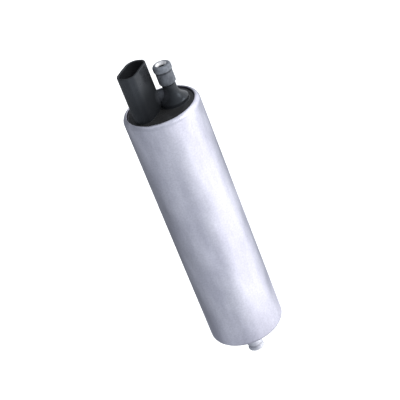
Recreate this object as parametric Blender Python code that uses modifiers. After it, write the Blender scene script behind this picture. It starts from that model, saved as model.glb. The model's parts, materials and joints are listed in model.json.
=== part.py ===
"""Electric in-line fuel pump: a rolled can with a motor and a gerotor pump inside it.

Metres, +Z up along the can's axis. The origin is on the axis at the can's half height,
where the clamp band grips it. The connector and outlet are at the top, the inlet at the foot.
"""
from math import acos, atan2, cos, degrees, hypot, pi, radians, sin, sqrt

import bmesh
import bpy
from mathutils import Matrix, Vector

MM = 0.001

# Running and seating clearances, in millimetres like every size below.
STACK_GAP = 0.05
CAN_GAP = 0.2
SLOT_GAP = 0.05
PRESS_GAP = 0.05
BRUSH_GAP = 0.1
BEARING_GAP = 0.1
MESH_GAP = 0.1
MAGNET_GAP = 0.1
SLEEVE_GAP = 0.1

# How far a cutter runs past the face it opens, and how deep an added shape sinks in.
OVERSHOOT = 1.0
SINK = 1.0

# Facets round a full turn, from the can down to wires.
ROUND_STEPS = 36
BORE_STEPS = 24
BUSH_STEPS = 20
PORT_STEPS = 16
PIN_STEPS = 12
WIRE_STEPS = 8

# Can
CAN_R = 21.5
CAN_WALL = 1.3
CAN_LENGTH = 152.5
RIM_ROLL_R = 3.0
RIM_LIP = 2.45
FOOT_ROLL_R = 2.5
FOOT_LIP = 4.0
RIM_Z = CAN_LENGTH / 2
FOOT_Z = -CAN_LENGTH / 2
RIM_MOUTH_R = CAN_R - RIM_LIP
FOOT_MOUTH_R = CAN_R - FOOT_LIP
CAN_BORE_R = CAN_R - CAN_WALL
STACK_R = CAN_BORE_R - CAN_GAP

# The motor and the pump keep their proportions to the stack they stand in. Their radii are
# written for a stack of 20 mm radius.
STACK_UNIT = STACK_R / 20

# End cap: a plate under the rim and a skirt down to the flux ring
CAP_DROP = 0.8
CAP_LIP_GAP = 0.55
CAP_BEVEL = 0.7
CAP_PLATE_H = 8.2
CAP_SKIRT_H = 9.0
CAP_SKIRT_WALL = 2.5
CAP_FACE_Z = RIM_Z - CAP_DROP
CAP_FACE_R = RIM_MOUTH_R - CAP_LIP_GAP
CAP_PLATE_Z = CAP_FACE_Z - CAP_PLATE_H
CAP_SKIRT_Z = CAP_PLATE_Z - CAP_SKIRT_H

# Seal rings and their grooves
RING_GROOVE_H = 2.4
RING_GROOVE_D = 1.5
RING_SQUEEZE_GAP = 0.03
CAP_GROOVE_RISE = 2.0
COVER_GROOVE_DROP = 11.35
RING_GROOVE_R = STACK_R - RING_GROOVE_D
CAP_RING_GROOVE_Z = CAP_PLATE_Z + CAP_GROOVE_RISE

# The connector and the outlet keep their proportions to the cap's face. Their plan is
# written for a face of 18.5 mm radius.
FACE_UNIT = CAP_FACE_R / 18.5

# Connector shroud, an oval with one cut corner, turned about the can's axis
SHROUD_X = -7.2 * FACE_UNIT
SHROUD_Y = -2.8 * FACE_UNIT
SHROUD_TURN = radians(54.0)
SHROUD_HALF_LENGTH = 9.4 * FACE_UNIT
SHROUD_HALF_WIDTH = 5.4 * FACE_UNIT
SHROUD_FAR_ROUND = 4.9 * FACE_UNIT
SHROUD_NEAR_ROUND = 4.4 * FACE_UNIT
SHROUD_CUT_LENGTH = 1.8 * FACE_UNIT
SHROUD_CUT_WIDTH = 2.7 * FACE_UNIT
CUT_SHARP_ROUND = 0.9 * FACE_UNIT
CUT_SOFT_ROUND = 1.4 * FACE_UNIT
SHROUD_SLANT = 0.1 * FACE_UNIT
SHROUD_WALL = 1.3 * FACE_UNIT
SHROUD_H = 27.0
SOCKET_DEPTH = 24.0
SHROUD_TOP_Z = RIM_Z + SHROUD_H
SOCKET_FLOOR_Z = SHROUD_TOP_Z - SOCKET_DEPTH

# Terminals
BLADE_WIDTH = 4.8 * FACE_UNIT
BLADE_THICK = 0.8
BLADE_SPREAD = 4.6 * FACE_UNIT
BLADE_RECESS = 7.0
TAB_WIDTH = 3.0 * FACE_UNIT
TAB_REACH = 5.0
STRAP_RISE = 2.0
STRAP_RUN = 7.0 * FACE_UNIT
BLADE_TOP_Z = SHROUD_TOP_Z - BLADE_RECESS
TAB_FOOT_Z = CAP_PLATE_Z - TAB_REACH
STRAP_Z = CAP_PLATE_Z + STRAP_RISE

# Outlet post, with a flared foot and a spigot that carries the nipple
POST_X = 8.3 * FACE_UNIT
NECK_R = 3.8 * FACE_UNIT
FLARE_R = 8.0 * FACE_UNIT
FLARE_EDGE = 0.4
FLARE_TOP_RISE = 7.4
FLARE_FOOT_RISE = 1.5
FLARE_CURVE = 2.3
FLARE_TURNS = 6
SPIGOT_R = 3.2 * FACE_UNIT
POST_SINK = 1.2
NIPPLE_FOOT_RISE = 9.6
NIPPLE_H = 12.6
SPIGOT_SHORT = 5.2
NIPPLE_FOOT_Z = RIM_Z + NIPPLE_FOOT_RISE
NIPPLE_TOP_Z = NIPPLE_FOOT_Z + NIPPLE_H
SPIGOT_TOP_Z = NIPPLE_TOP_Z - SPIGOT_SHORT

# Web between the shroud and the post
WEB_LENGTH = 6.2 * FACE_UNIT
WEB_THICK = 2.2 * FACE_UNIT
WEB_X = 2.4 * FACE_UNIT
WEB_Y = 0.5 * FACE_UNIT
WEB_RISE = 8.3

# Metal outlet nipple
NIPPLE_R = 4.65 * FACE_UNIT
NIPPLE_FOOT_ROUND = 0.7
NIPPLE_FOOT_H = 1.2
NIPPLE_BEAD_R = 5.1 * FACE_UNIT
NIPPLE_BORE_R = 2.0 * FACE_UNIT
MOUTH_R = 3.0 * FACE_UNIT
MOUTH_DEPTH = 2.3
BEAD_ROUND = 1.4
BEAD_H = 3.1
BEAD_STEP = 0.6

# Check valve in the post
VALVE_BORE_R = 2.4 * FACE_UNIT
VALVE_SEAT_RISE = 3.0
PORT_R = 1.8 * FACE_UNIT
SEAT_H = 2.25
SEAT_BORE_R = 1.2 * FACE_UNIT
POPPET_R = 1.9 * FACE_UNIT
POPPET_NOSE_R = 0.8 * FACE_UNIT
POPPET_STEM_R = 0.7 * FACE_UNIT
POPPET_NOSE_H = 0.7
POPPET_CONE_H = 0.8
POPPET_HEAD_H = 1.0
POPPET_STEM_H = 4.6
POPPET_GAP = 0.1
CHECK_SPRING_R = 1.4 * FACE_UNIT
CHECK_WIRE_R = 0.25
CHECK_SPRING_H = 9.8
CHECK_TURNS = 4
STOP_H = 1.5
STOP_BORE_R = 0.9 * FACE_UNIT
VALVE_SEAT_Z = CAP_PLATE_Z + VALVE_SEAT_RISE

# Chokes under the cap's plate
CHOKE_SPOTS = {"choke_a": (-13.9, 3.2), "choke_b": (-13.4, -5.2)}
CHOKE_CORE_R = 1.4 * STACK_UNIT
CHOKE_COIL_R = 2.0 * STACK_UNIT
CHOKE_WIRE_R = 0.35 * STACK_UNIT
CHOKE_TURNS = 3.5
CHOKE_SEAT_D = 2.0
CHOKE_CORE_CLEAR = 0.8
CHOKE_COIL_CLEAR = 1.5
CHOKE_COIL_DROP = 1.0

# Shaft and bearings
SHAFT_R = 3.0 * STACK_UNIT
SHAFT_CHAMFER = 0.4
SHAFT_END_GAP = 0.4
BUSH_R = 4.6 * STACK_UNIT
BUSH_H = 5.0
TOP_BUSH_DROP = 7.0
BOSS_R = 6.0 * STACK_UNIT
LOWER_BUSH_R = 5.0 * STACK_UNIT
LOWER_BUSH_PROUD = 0.5
WASHER_H = 0.75
WASHER_GAP = 0.1
TOP_WASHER_R = 4.5 * STACK_UNIT
LOWER_WASHER_R = 5.4 * STACK_UNIT
TOP_BUSH_Z = CAP_PLATE_Z - TOP_BUSH_DROP
BUSH_TOP_Z = TOP_BUSH_Z + BUSH_H
SHAFT_TOP_Z = BUSH_TOP_Z + SHAFT_END_GAP

# Pump stack, built up from the foot of the can
COVER_H = 20.75
PLATE_H = 8.0
RING_H = 12.0
COVER_TOP_Z = FOOT_Z + COVER_H
PLATE_FOOT_Z = COVER_TOP_Z + STACK_GAP
FOOT_PLATE_Z = PLATE_FOOT_Z + PLATE_H
RING_FOOT_Z = FOOT_PLATE_Z + STACK_GAP
RING_TOP_Z = RING_FOOT_Z + RING_H
TOP_PLATE_FOOT_Z = RING_TOP_Z + STACK_GAP
TOP_PLATE_Z = TOP_PLATE_FOOT_Z + PLATE_H
SHAFT_TAIL = 4.5
SHAFT_FOOT_Z = FOOT_PLATE_Z - SHAFT_TAIL

# Field: the flux ring fills the can between the end cap and the pump stack
FLUX_RING_WALL = 1.85
FLUX_TOP_Z = CAP_SKIRT_Z - STACK_GAP
FLUX_FOOT_Z = TOP_PLATE_Z + STACK_GAP
FLUX_INNER_R = STACK_R - FLUX_RING_WALL
MAGNET_THICK = 2.75 * STACK_UNIT
MAGNET_ARC = 140.0
MAGNET_TOP_DROP = 12.0
MAGNET_FOOT_RISE = 7.0
MAGNET_OUTER_R = FLUX_INNER_R - MAGNET_GAP
MAGNET_INNER_R = MAGNET_OUTER_R - MAGNET_THICK
MAGNET_TOP_Z = FLUX_TOP_Z - MAGNET_TOP_DROP
MAGNET_FOOT_Z = FLUX_FOOT_Z + MAGNET_FOOT_RISE
CLIP_THICK = 0.5
CLIP_LEG = 2.15 * STACK_UNIT
CLIP_INSET = 2.0
CLIP_GAP = 0.1

# Armature
AIR_GAP = 0.7
CORE_R = MAGNET_INNER_R - AIR_GAP
CORE_INSET = 8.0
CORE_TOP_Z = MAGNET_TOP_Z - CORE_INSET
CORE_FOOT_Z = MAGNET_FOOT_Z + CORE_INSET
TEETH = 8
SLOT_HALF = 1.0 * STACK_UNIT
TOOTH_HALF = 2.0 * STACK_UNIT
YOKE_R = 7.4 * STACK_UNIT
TIP_NECK_R = 12.6 * STACK_UNIT
TIP_ROOT_R = 13.1 * STACK_UNIT
BAR_INNER_R = 8.3 * STACK_UNIT
BAR_OUTER_R = 12.3 * STACK_UNIT
BAR_INNER_HALF = 0.95 * STACK_UNIT
BAR_OUTER_HALF = 2.55 * STACK_UNIT
CROWN_H = 6.7
CROWN_GAP = 0.1
CROWN_SHOULDER = 1.4
CROWN_R = 13.2 * STACK_UNIT
CROWN_TOP_R = 12.2 * STACK_UNIT
CROWN_DIP_R = 9.6 * STACK_UNIT
CROWN_INNER_TOP_R = 6.6 * STACK_UNIT
CROWN_BORE_R = 5.4 * STACK_UNIT
COMMUTATOR_R = 12.2 * STACK_UNIT
COMMUTATOR_DROP = 4.0
COMMUTATOR_H = 3.5
COMMUTATOR_BORE_R = 4.4 * STACK_UNIT
COMMUTATOR_HUB_R = 5.6 * STACK_UNIT
HUB_GAP = 0.4
BAR_SLOT_R = 9.6 * STACK_UNIT
BAR_SLOT_LENGTH = 6.6 * STACK_UNIT
BAR_SLOT_WIDTH = 0.6
BAR_SLOT_DEPTH = 1.2
COMMUTATOR_FACE_Z = CAP_SKIRT_Z - COMMUTATOR_DROP

# Brushes in the guides under the cap's plate
BRUSH_Y = 9.5 * STACK_UNIT
BRUSH_X_SIZE = 5.0 * STACK_UNIT
BRUSH_Y_SIZE = 4.0 * STACK_UNIT
BRUSH_LENGTH = 9.0
BRUSH_SPRING_R = 1.5 * STACK_UNIT
BRUSH_WIRE_R = 0.25
BRUSH_TURNS = 4
SHUNT_R = 0.35
GUIDE_WALL = 1.2 * STACK_UNIT
GUIDE_CLEAR = 2.2
GUIDE_DEPTH = 6.0
BRUSH_FOOT_Z = COMMUTATOR_FACE_Z + STACK_GAP
BRUSH_TOP_Z = BRUSH_FOOT_Z + BRUSH_LENGTH
GUIDE_TOP_Z = CAP_PLATE_Z + GUIDE_DEPTH
GUIDE_FOOT_Z = COMMUTATOR_FACE_Z + GUIDE_CLEAR

# Gerotor set: six teeth run inside seven lobes, off centre in the eccentric ring
INNER_TEETH = 6
OUTER_TEETH = INNER_TEETH + 1
OFFSET_X = 1.35 * STACK_UNIT
LOBE_PITCH_R = 12.0 * STACK_UNIT
LOBE_R = 3.6 * STACK_UNIT
ROOT_R = 11.3 * STACK_UNIT
OUTER_ROTOR_R = 14.5 * STACK_UNIT
ROTOR_END_GAP = 0.1
KIDNEY_INNER_R = 8.6 * STACK_UNIT
KIDNEY_OUTER_R = 11.2 * STACK_UNIT
KIDNEY_HALF_ARC = 65
INLET_SIDE_ANGLE = 90
OUTLET_SIDE_ANGLE = 270

# Drive coupling
COUPLING_R = 7.0 * STACK_UNIT
COUPLING_ROOM_R = 7.4 * STACK_UNIT
COUPLING_GAP = 0.2
DOG_CIRCLE_R = 5.1 * STACK_UNIT
DOG_R = 1.0 * STACK_UNIT
DOG_REACH = 4.0
LOWER_BUSH_TOP_Z = TOP_PLATE_Z + LOWER_BUSH_PROUD
LOWER_BUSH_FOOT_Z = LOWER_BUSH_TOP_Z - BUSH_H
COUPLING_ROOM_Z = LOWER_BUSH_FOOT_Z - 2 * COUPLING_GAP
COUPLING_TOP_Z = COUPLING_ROOM_Z - COUPLING_GAP / 2
COUPLING_FOOT_Z = TOP_PLATE_FOOT_Z + COUPLING_GAP

# Dowels through the pump stack
DOWEL_Y = 17.2 * STACK_UNIT
DOWEL_R = 1.2 * STACK_UNIT
DOWEL_TOP_DROP = 2.0
DOWEL_SINK = 2.8
DOWEL_END_GAP = 0.2
DOWEL_TOP_Z = TOP_PLATE_Z - DOWEL_TOP_DROP
DOWEL_FOOT_Z = COVER_TOP_Z - DOWEL_SINK

# Inlet cover
COVER_PROUD = 0.3
COVER_LIP_GAP = 0.4
COVER_STEP_H = 1.5
COVER_CHAMFER = 0.4
CHAMBER_R = 12.0 * STACK_UNIT
CHAMBER_DEPTH = 10.0
LEDGE_R = 10.6 * STACK_UNIT
LEDGE_DROP = 2.0
CONE_DROP = 3.0
INLET_R = 4.0 * STACK_UNIT
INLET_BORE_R = 2.4 * STACK_UNIT
INLET_REACH = 18.4
INLET_BASE_R = 6.4 * STACK_UNIT
INLET_FILLET_R = 4.9 * STACK_UNIT
INLET_FILLET_H = 2.5
RIDGE_R = 4.7 * STACK_UNIT
RIDGE_CREST_R = 4.55 * STACK_UNIT
RIDGE_PITCH = 3.2
RIDGE_TIP = 1.2
RIDGE_RISE = 1.3
RIDGE_LIP = 0.3
RIDGE_FALL = 0.6
COVER_FACE_Z = FOOT_Z - COVER_PROUD
COVER_FACE_R = FOOT_MOUTH_R - COVER_LIP_GAP
CHAMBER_Z = COVER_TOP_Z - CHAMBER_DEPTH
INLET_TIP_Z = FOOT_Z - INLET_REACH
COVER_RING_GROOVE_Z = COVER_TOP_Z - COVER_GROOVE_DROP

# Relief valve in the inlet cover
RELIEF_X = -15.6 * STACK_UNIT
RELIEF_PORT_R = 1.3 * STACK_UNIT
RELIEF_BALL_R = 1.9 * STACK_UNIT
RELIEF_BORE_R = 2.3 * STACK_UNIT
RELIEF_DEPTH = 9.85
RELIEF_SLOT_LENGTH = 5.0 * STACK_UNIT
RELIEF_SLOT_X = 3.2 * STACK_UNIT
RELIEF_SLOT_SIZE = 1.8
RELIEF_SLOT_RISE = 4.6
RELIEF_SPRING_R = 1.2 * STACK_UNIT
RELIEF_WIRE_R = 0.3
RELIEF_TURNS = 3
BALL_GAP = 0.1
BALL_SEAT_SHARE = 0.78
RELIEF_FLOOR_Z = COVER_TOP_Z - RELIEF_DEPTH

# Strainer on the chamber's ledge, with two rings of holes
STRAINER_RING_R = (3.2 * STACK_UNIT, 7.4 * STACK_UNIT)
STRAINER_HOLE_PITCH = 5.1 * STACK_UNIT
STRAINER_GAP = 0.15
STRAINER_H = 0.6
STRAINER_HOLE_R = 1.3 * STACK_UNIT
STRAINER_HOLE_STEPS = 6


for leftover in list(bpy.data.objects):
    bpy.data.objects.remove(leftover)

pump = bpy.data.collections.new("fuel_pump")
cutters = bpy.data.collections.new("cutters")
for group in (pump, cutters):
    bpy.context.scene.collection.children.link(group)


def material(name, color, roughness, metallic):
    """A plain Principled material."""
    made = bpy.data.materials.new(name)
    made.use_nodes = True
    shader = made.node_tree.nodes["Principled BSDF"]
    shader.inputs["Base Color"].default_value = (*color, 1.0)
    shader.inputs["Roughness"].default_value = roughness
    shader.inputs["Metallic"].default_value = metallic
    return made


SATIN_CAN = material("satin_can", (0.62, 0.63, 0.68), 0.32, 1.0)
BLACK_MOULDING = material("black_moulding", (0.018, 0.019, 0.022), 0.42, 0.0)
PLATED_STEEL = material("plated_steel", (0.45, 0.46, 0.48), 0.28, 1.0)
TINNED_BRASS = material("tinned_brass", (0.62, 0.6, 0.55), 0.3, 1.0)
CAST_COVER = material("cast_cover", (0.6, 0.61, 0.63), 0.42, 1.0)
GROUND_STEEL = material("ground_steel", (0.5, 0.5, 0.52), 0.22, 1.0)
CORE_STEEL = material("core_steel", (0.22, 0.22, 0.24), 0.5, 1.0)
FERRITE = material("ferrite", (0.05, 0.05, 0.055), 0.7, 0.0)
COPPER = material("copper", (0.72, 0.32, 0.14), 0.35, 1.0)
CARBON = material("carbon", (0.03, 0.03, 0.03), 0.6, 0.0)
BRONZE = material("bronze", (0.5, 0.33, 0.15), 0.45, 1.0)
SINTERED = material("sintered_steel", (0.3, 0.3, 0.31), 0.5, 1.0)
SEAL_RUBBER = material("seal_rubber", (0.02, 0.018, 0.016), 0.75, 0.0)
SPRING_STEEL = material("spring_steel", (0.55, 0.55, 0.57), 0.25, 1.0)
NYLON = material("nylon", (0.75, 0.73, 0.66), 0.5, 0.0)
WASHER_FIBRE = material("washer_fibre", (0.35, 0.2, 0.1), 0.7, 0.0)


def place(name, mesh, finish, at=(0.0, 0.0)):
    """Give a mesh its object, smooth sides with sharp edges, and a place beside the axis."""
    heights = [v.co.z for v in mesh.vertices]
    middle = (min(heights) + max(heights)) / 2
    mesh.transform(Matrix.Translation((0, 0, -middle)))
    mesh.shade_smooth()
    mesh.set_sharp_from_angle(angle=radians(35))
    made = bpy.data.objects.new(name, mesh)
    made.location = (at[0] * MM, at[1] * MM, middle)
    mesh.materials.clear()
    mesh.materials.append(finish)
    pump.objects.link(made)
    return made


def settled(source):
    """The finished mesh of a curve or modified object, which is then removed."""
    bpy.context.view_layer.update()
    graph = bpy.context.evaluated_depsgraph_get()
    mesh = bpy.data.meshes.new_from_object(source.evaluated_get(graph))
    bpy.data.objects.remove(source)
    shape = bmesh.new()
    shape.from_mesh(mesh)
    bmesh.ops.remove_doubles(shape, verts=shape.verts, dist=1e-7)
    bmesh.ops.recalc_face_normals(shape, faces=shape.faces)
    shape.to_mesh(mesh)
    shape.free()
    return mesh


def turned_mesh(profile, steps, closed=False, at=(0.0, 0.0)):
    """A turned piece from (radius, height) points that run down its outer side."""
    mesh = bpy.data.meshes.new("profile")
    points = [(r * MM, 0.0, z * MM) for r, z in profile]
    edges = [(i, i + 1) for i in range(len(points) - 1)]
    if closed:
        edges.append((len(points) - 1, 0))
    mesh.from_pydata(points, edges, [])
    holder = bpy.data.objects.new("profile", mesh)
    bpy.context.scene.collection.objects.link(holder)
    screw = holder.modifiers.new("turn", "SCREW")
    screw.axis = "Z"
    screw.steps = steps
    screw.render_steps = steps
    screw.use_merge_vertices = True
    screw.merge_threshold = 1e-6
    made = settled(holder)
    made.transform(Matrix.Translation((at[0] * MM, at[1] * MM, 0)))
    return made


def turned(name, profile, finish, steps=ROUND_STEPS, at=(0.0, 0.0), closed=False):
    return place(name, turned_mesh(profile, steps, closed), finish, at)


def tube(name, outer_r, inner_r, top, foot, finish, steps=BUSH_STEPS, at=(0.0, 0.0)):
    """A plain ring or tube with square ends."""
    profile = [(outer_r, top), (outer_r, foot), (inner_r, foot), (inner_r, top)]
    return turned(name, profile, finish, steps, at, closed=True)


def plate_mesh(outlines, top, foot):
    """A flat piece: the first outline is its edge and the others are holes."""
    curve = bpy.data.curves.new("outline", "CURVE")
    curve.dimensions = "2D"
    curve.fill_mode = "BOTH"
    curve.extrude = (top - foot) / 2 * MM
    for outline in outlines:
        spline = curve.splines.new("POLY")
        spline.points.add(len(outline) - 1)
        for point, (x, y) in zip(spline.points, outline):
            point.co = (x * MM, y * MM, 0.0, 1.0)
        spline.use_cyclic_u = True
    holder = bpy.data.objects.new("outline", curve)
    bpy.context.scene.collection.objects.link(holder)
    mesh = settled(holder)
    mesh.transform(Matrix.Translation((0, 0, (top + foot) / 2 * MM)))
    return mesh


def plate(name, outlines, top, foot, finish, at=(0.0, 0.0)):
    return place(name, plate_mesh(outlines, top, foot), finish, at)


def box_mesh(size, centre, turn=0.0):
    """A box from its size and centre, turned about its own upright axis."""
    shape = bmesh.new()
    bmesh.ops.create_cube(shape, size=1.0)
    move = Matrix.Translation(Vector(centre) * MM)
    spin = Matrix.Rotation(turn, 4, "Z")
    scale = Matrix.Diagonal((size[0] * MM, size[1] * MM, size[2] * MM, 1.0))
    shape.transform(move @ spin @ scale)
    mesh = bpy.data.meshes.new("box")
    shape.to_mesh(mesh)
    shape.free()
    return mesh


def block_mesh(size_x, size_y, top, foot, at=(0.0, 0.0), turn=0.0):
    """An upright box between two heights."""
    return box_mesh((size_x, size_y, top - foot), (at[0], at[1], (top + foot) / 2), turn)


def rod_mesh(radius, top, foot, at=(0.0, 0.0), steps=BUSH_STEPS):
    """An upright rod beside the axis."""
    shape = bmesh.new()
    bmesh.ops.create_cone(
        shape, cap_ends=True, segments=steps,
        radius1=radius * MM, radius2=radius * MM, depth=(top - foot) * MM)
    shape.transform(Matrix.Translation((at[0] * MM, at[1] * MM, (top + foot) / 2 * MM)))
    mesh = bpy.data.meshes.new("rod")
    shape.to_mesh(mesh)
    shape.free()
    return mesh


def merged(meshes):
    """Several separate meshes as one."""
    shape = bmesh.new()
    for mesh in meshes:
        shape.from_mesh(mesh)
    whole = bpy.data.meshes.new("merged")
    shape.to_mesh(whole)
    shape.free()
    return whole


def boolean(target, tool_mesh, operation, label):
    """Add or take away a tool shape; the tool is given where it stands in the pump."""
    tool = bpy.data.objects.new(target.name + "_" + label, tool_mesh)
    tool.hide_render = True
    tool.display_type = "WIRE"
    cutters.objects.link(tool)
    step = target.modifiers.new(label, "BOOLEAN")
    step.operation = operation
    step.solver = "EXACT"
    step.object = tool


def cut(target, tool_mesh, label):
    boolean(target, tool_mesh, "DIFFERENCE", label)


def add(target, tool_mesh, label):
    boolean(target, tool_mesh, "UNION", label)


def arc(centre, radius, start, end, count):
    """Points on an arc, both ends included; the angles are in degrees."""
    span = [radians(start + (end - start) * i / count) for i in range(count + 1)]
    return [(centre[0] + radius * cos(a), centre[1] + radius * sin(a)) for a in span]


def circle(radius, count, centre=(0.0, 0.0)):
    return arc(centre, radius, 0.0, 360.0, count)[:-1]


def ray(radius, angle):
    """The point at a radius and an angle in degrees."""
    return (radius * cos(radians(angle)), radius * sin(radians(angle)))


def rounded(corners, count):
    """A closed outline from (x, y, radius) corners."""
    points = []
    for i, (x, y, radius) in enumerate(corners):
        here = Vector((x, y))
        before = (Vector(corners[i - 1][:2]) - here).normalized()
        after = (Vector(corners[(i + 1) % len(corners)][:2]) - here).normalized()
        half = before.angle(after) / 2
        middle = (before + after).normalized() * (radius / sin(half)) + here
        first = here + before * (radius * cos(half) / sin(half))
        last = here + after * (radius * cos(half) / sin(half))
        start = (first - middle).to_2d()
        sweep = start.angle_signed(last - middle)
        for k in range(count + 1):
            a = atan2(start.y, start.x) - sweep * k / count
            points.append((middle.x + radius * cos(a), middle.y + radius * sin(a)))
    return points


def shroud_point(along, across):
    """A point of the shroud's own plan, seen in the pump."""
    c, s = cos(SHROUD_TURN), sin(SHROUD_TURN)
    return (SHROUD_X + along * c + across * s, SHROUD_Y + along * s - across * c)


def shroud_outline(inset, count):
    """The oval with its cut corner; inset draws the same shape smaller all round.

    A wall keeps its thickness along a slanted side when the corner moves in by a bit less.
    """
    length = SHROUD_HALF_LENGTH - inset
    width = SHROUD_HALF_WIDTH - inset
    slant_shift = inset * 0.3
    corners = [
        (length, -width, SHROUD_FAR_ROUND - inset),
        (length, width, SHROUD_FAR_ROUND - inset),
        (-length + SHROUD_CUT_LENGTH + SHROUD_SLANT - slant_shift, width, CUT_SHARP_ROUND),
        (-length + SHROUD_SLANT, width - SHROUD_CUT_WIDTH + slant_shift, CUT_SOFT_ROUND),
        (-length, -width, SHROUD_NEAR_ROUND - inset)]
    return [shroud_point(x, y) for x, y in rounded(corners, count)]


def coil(name, mean_r, wire_r, top, foot, turns, finish, at=(0.0, 0.0)):
    """A coil spring or winding whose wire ends lie level with its top and foot."""
    curve = bpy.data.curves.new("coil", "CURVE")
    curve.dimensions = "3D"
    curve.bevel_depth = wire_r * MM
    curve.bevel_resolution = 2
    curve.use_fill_caps = True
    spline = curve.splines.new("POLY")
    count = int(turns * WIRE_STEPS)
    spline.points.add(count)
    low = foot + wire_r
    rise = top - wire_r - low
    for i, point in enumerate(spline.points):
        a = 2 * pi * i / WIRE_STEPS
        z = low + rise * i / count
        point.co = (mean_r * cos(a) * MM, mean_r * sin(a) * MM, z * MM, 1.0)
    holder = bpy.data.objects.new("coil", curve)
    bpy.context.scene.collection.objects.link(holder)
    return place(name, settled(holder), finish, at)


# The can is one drawn tube. Its rim is rolled in over the end cap and its foot under the cover.
rim_centre = (CAN_R - RIM_ROLL_R, RIM_Z - RIM_ROLL_R)
foot_centre = (CAN_R - FOOT_ROLL_R, FOOT_Z + FOOT_ROLL_R)
rim_end = degrees(acos((RIM_MOUTH_R - rim_centre[0]) / RIM_ROLL_R))
can_profile = arc(rim_centre, RIM_ROLL_R, rim_end, 0, 4)
can_profile += arc(foot_centre, FOOT_ROLL_R, 0, -90, 3)
can_profile.append((FOOT_MOUTH_R, FOOT_Z))
can_profile.append((FOOT_MOUTH_R, FOOT_Z + CAN_WALL))
can_profile += arc(foot_centre, FOOT_ROLL_R - CAN_WALL, -90, 0, 2)
can_profile += arc(rim_centre, RIM_ROLL_R - CAN_WALL, 0, rim_end, 2)
turned("can", can_profile, SATIN_CAN, closed=True)


def groove(foot):
    """The profile points of a seal ring's groove in a wall of the stack's radius."""
    return [
        (STACK_R, foot + RING_GROOVE_H), (RING_GROOVE_R, foot + RING_GROOVE_H),
        (RING_GROOVE_R, foot), (STACK_R, foot)]


# The end cap is one moulding: plate and skirt, connector shroud, outlet post and brush guides.
skirt_inner_r = STACK_R - CAP_SKIRT_WALL
cap_profile = [(0.0, CAP_FACE_Z), (CAP_FACE_R - CAP_BEVEL, CAP_FACE_Z)]
cap_profile.append((CAP_FACE_R, CAP_FACE_Z - CAP_BEVEL / 2))
cap_profile += arc(rim_centre, STACK_R - rim_centre[0], 90, 0, 2)
cap_profile += groove(CAP_RING_GROOVE_Z)
cap_profile += [
    (STACK_R, CAP_SKIRT_Z), (skirt_inner_r, CAP_SKIRT_Z), (skirt_inner_r, CAP_PLATE_Z),
    (0.0, CAP_PLATE_Z)]
end_cap = turned("end_cap", cap_profile, BLACK_MOULDING)

add(end_cap, plate_mesh([shroud_outline(0.0, 5)], SHROUD_TOP_Z, CAP_FACE_Z - SINK), "shroud")

flare_top_z = RIM_Z + FLARE_TOP_RISE
flare_foot_z = RIM_Z + FLARE_FOOT_RISE
flare_width = FLARE_R - FLARE_EDGE - NECK_R
neck_top_z = NIPPLE_FOOT_Z - SLEEVE_GAP
post_profile = [(0.0, SPIGOT_TOP_Z), (SPIGOT_R, SPIGOT_TOP_Z), (SPIGOT_R, neck_top_z), (NECK_R, neck_top_z)]
for k in range(FLARE_TURNS + 1):
    share = k / FLARE_TURNS
    flare_z = flare_top_z - (flare_top_z - flare_foot_z) * share
    post_profile.append((NECK_R + flare_width * share**FLARE_CURVE, flare_z))
post_profile += [
    (FLARE_R, flare_foot_z - 2 * FLARE_EDGE), (FLARE_R, CAP_FACE_Z - POST_SINK),
    (0.0, CAP_FACE_Z - POST_SINK)]
add(end_cap, turned_mesh(post_profile, BORE_STEPS, at=(POST_X, 0.0)), "post")

web = block_mesh(WEB_LENGTH, WEB_THICK, RIM_Z + WEB_RISE, CAP_FACE_Z - POST_SINK, (WEB_X, WEB_Y))
add(end_cap, web, "web")

add(end_cap, rod_mesh(BOSS_R, CAP_PLATE_Z + SINK, TOP_BUSH_Z - STACK_GAP), "boss")
guide_x = BRUSH_X_SIZE + 2 * GUIDE_WALL
guide_y = BRUSH_Y_SIZE + 2 * GUIDE_WALL
brush_bore_x = BRUSH_X_SIZE + 2 * BRUSH_GAP
brush_bore_y = BRUSH_Y_SIZE + 2 * BRUSH_GAP
for side, tag in ((1, "a"), (-1, "b")):
    guide = block_mesh(guide_x, guide_y, CAP_PLATE_Z + SINK, GUIDE_FOOT_Z, (0.0, side * BRUSH_Y))
    add(end_cap, guide, "guide_" + tag)
for side, tag in ((1, "a"), (-1, "b")):
    bore_foot_z = GUIDE_FOOT_Z - OVERSHOOT
    brush_bore = block_mesh(brush_bore_x, brush_bore_y, GUIDE_TOP_Z, bore_foot_z, (0.0, side * BRUSH_Y))
    cut(end_cap, brush_bore, "brush_bore_" + tag)

post_at = (POST_X, 0.0)
socket = plate_mesh([shroud_outline(SHROUD_WALL, 4)], SHROUD_TOP_Z + OVERSHOOT, SOCKET_FLOOR_Z)
cut(end_cap, socket, "socket")
cut(end_cap, rod_mesh(VALVE_BORE_R, SPIGOT_TOP_Z + OVERSHOOT, VALVE_SEAT_Z, post_at), "valve_bore")
port = rod_mesh(PORT_R, VALVE_SEAT_Z + OVERSHOOT, CAP_PLATE_Z - OVERSHOOT, post_at, PORT_STEPS)
cut(end_cap, port, "port")
cut(end_cap, rod_mesh(BUSH_R + SLOT_GAP, BUSH_TOP_Z + SLOT_GAP, TOP_BUSH_Z - OVERSHOOT), "bush_seat")
shaft_room = rod_mesh(SHAFT_R + SHAFT_END_GAP, SHAFT_TOP_Z + SHAFT_END_GAP, BUSH_TOP_Z - OVERSHOOT)
cut(end_cap, shaft_room, "shaft_room")


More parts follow.
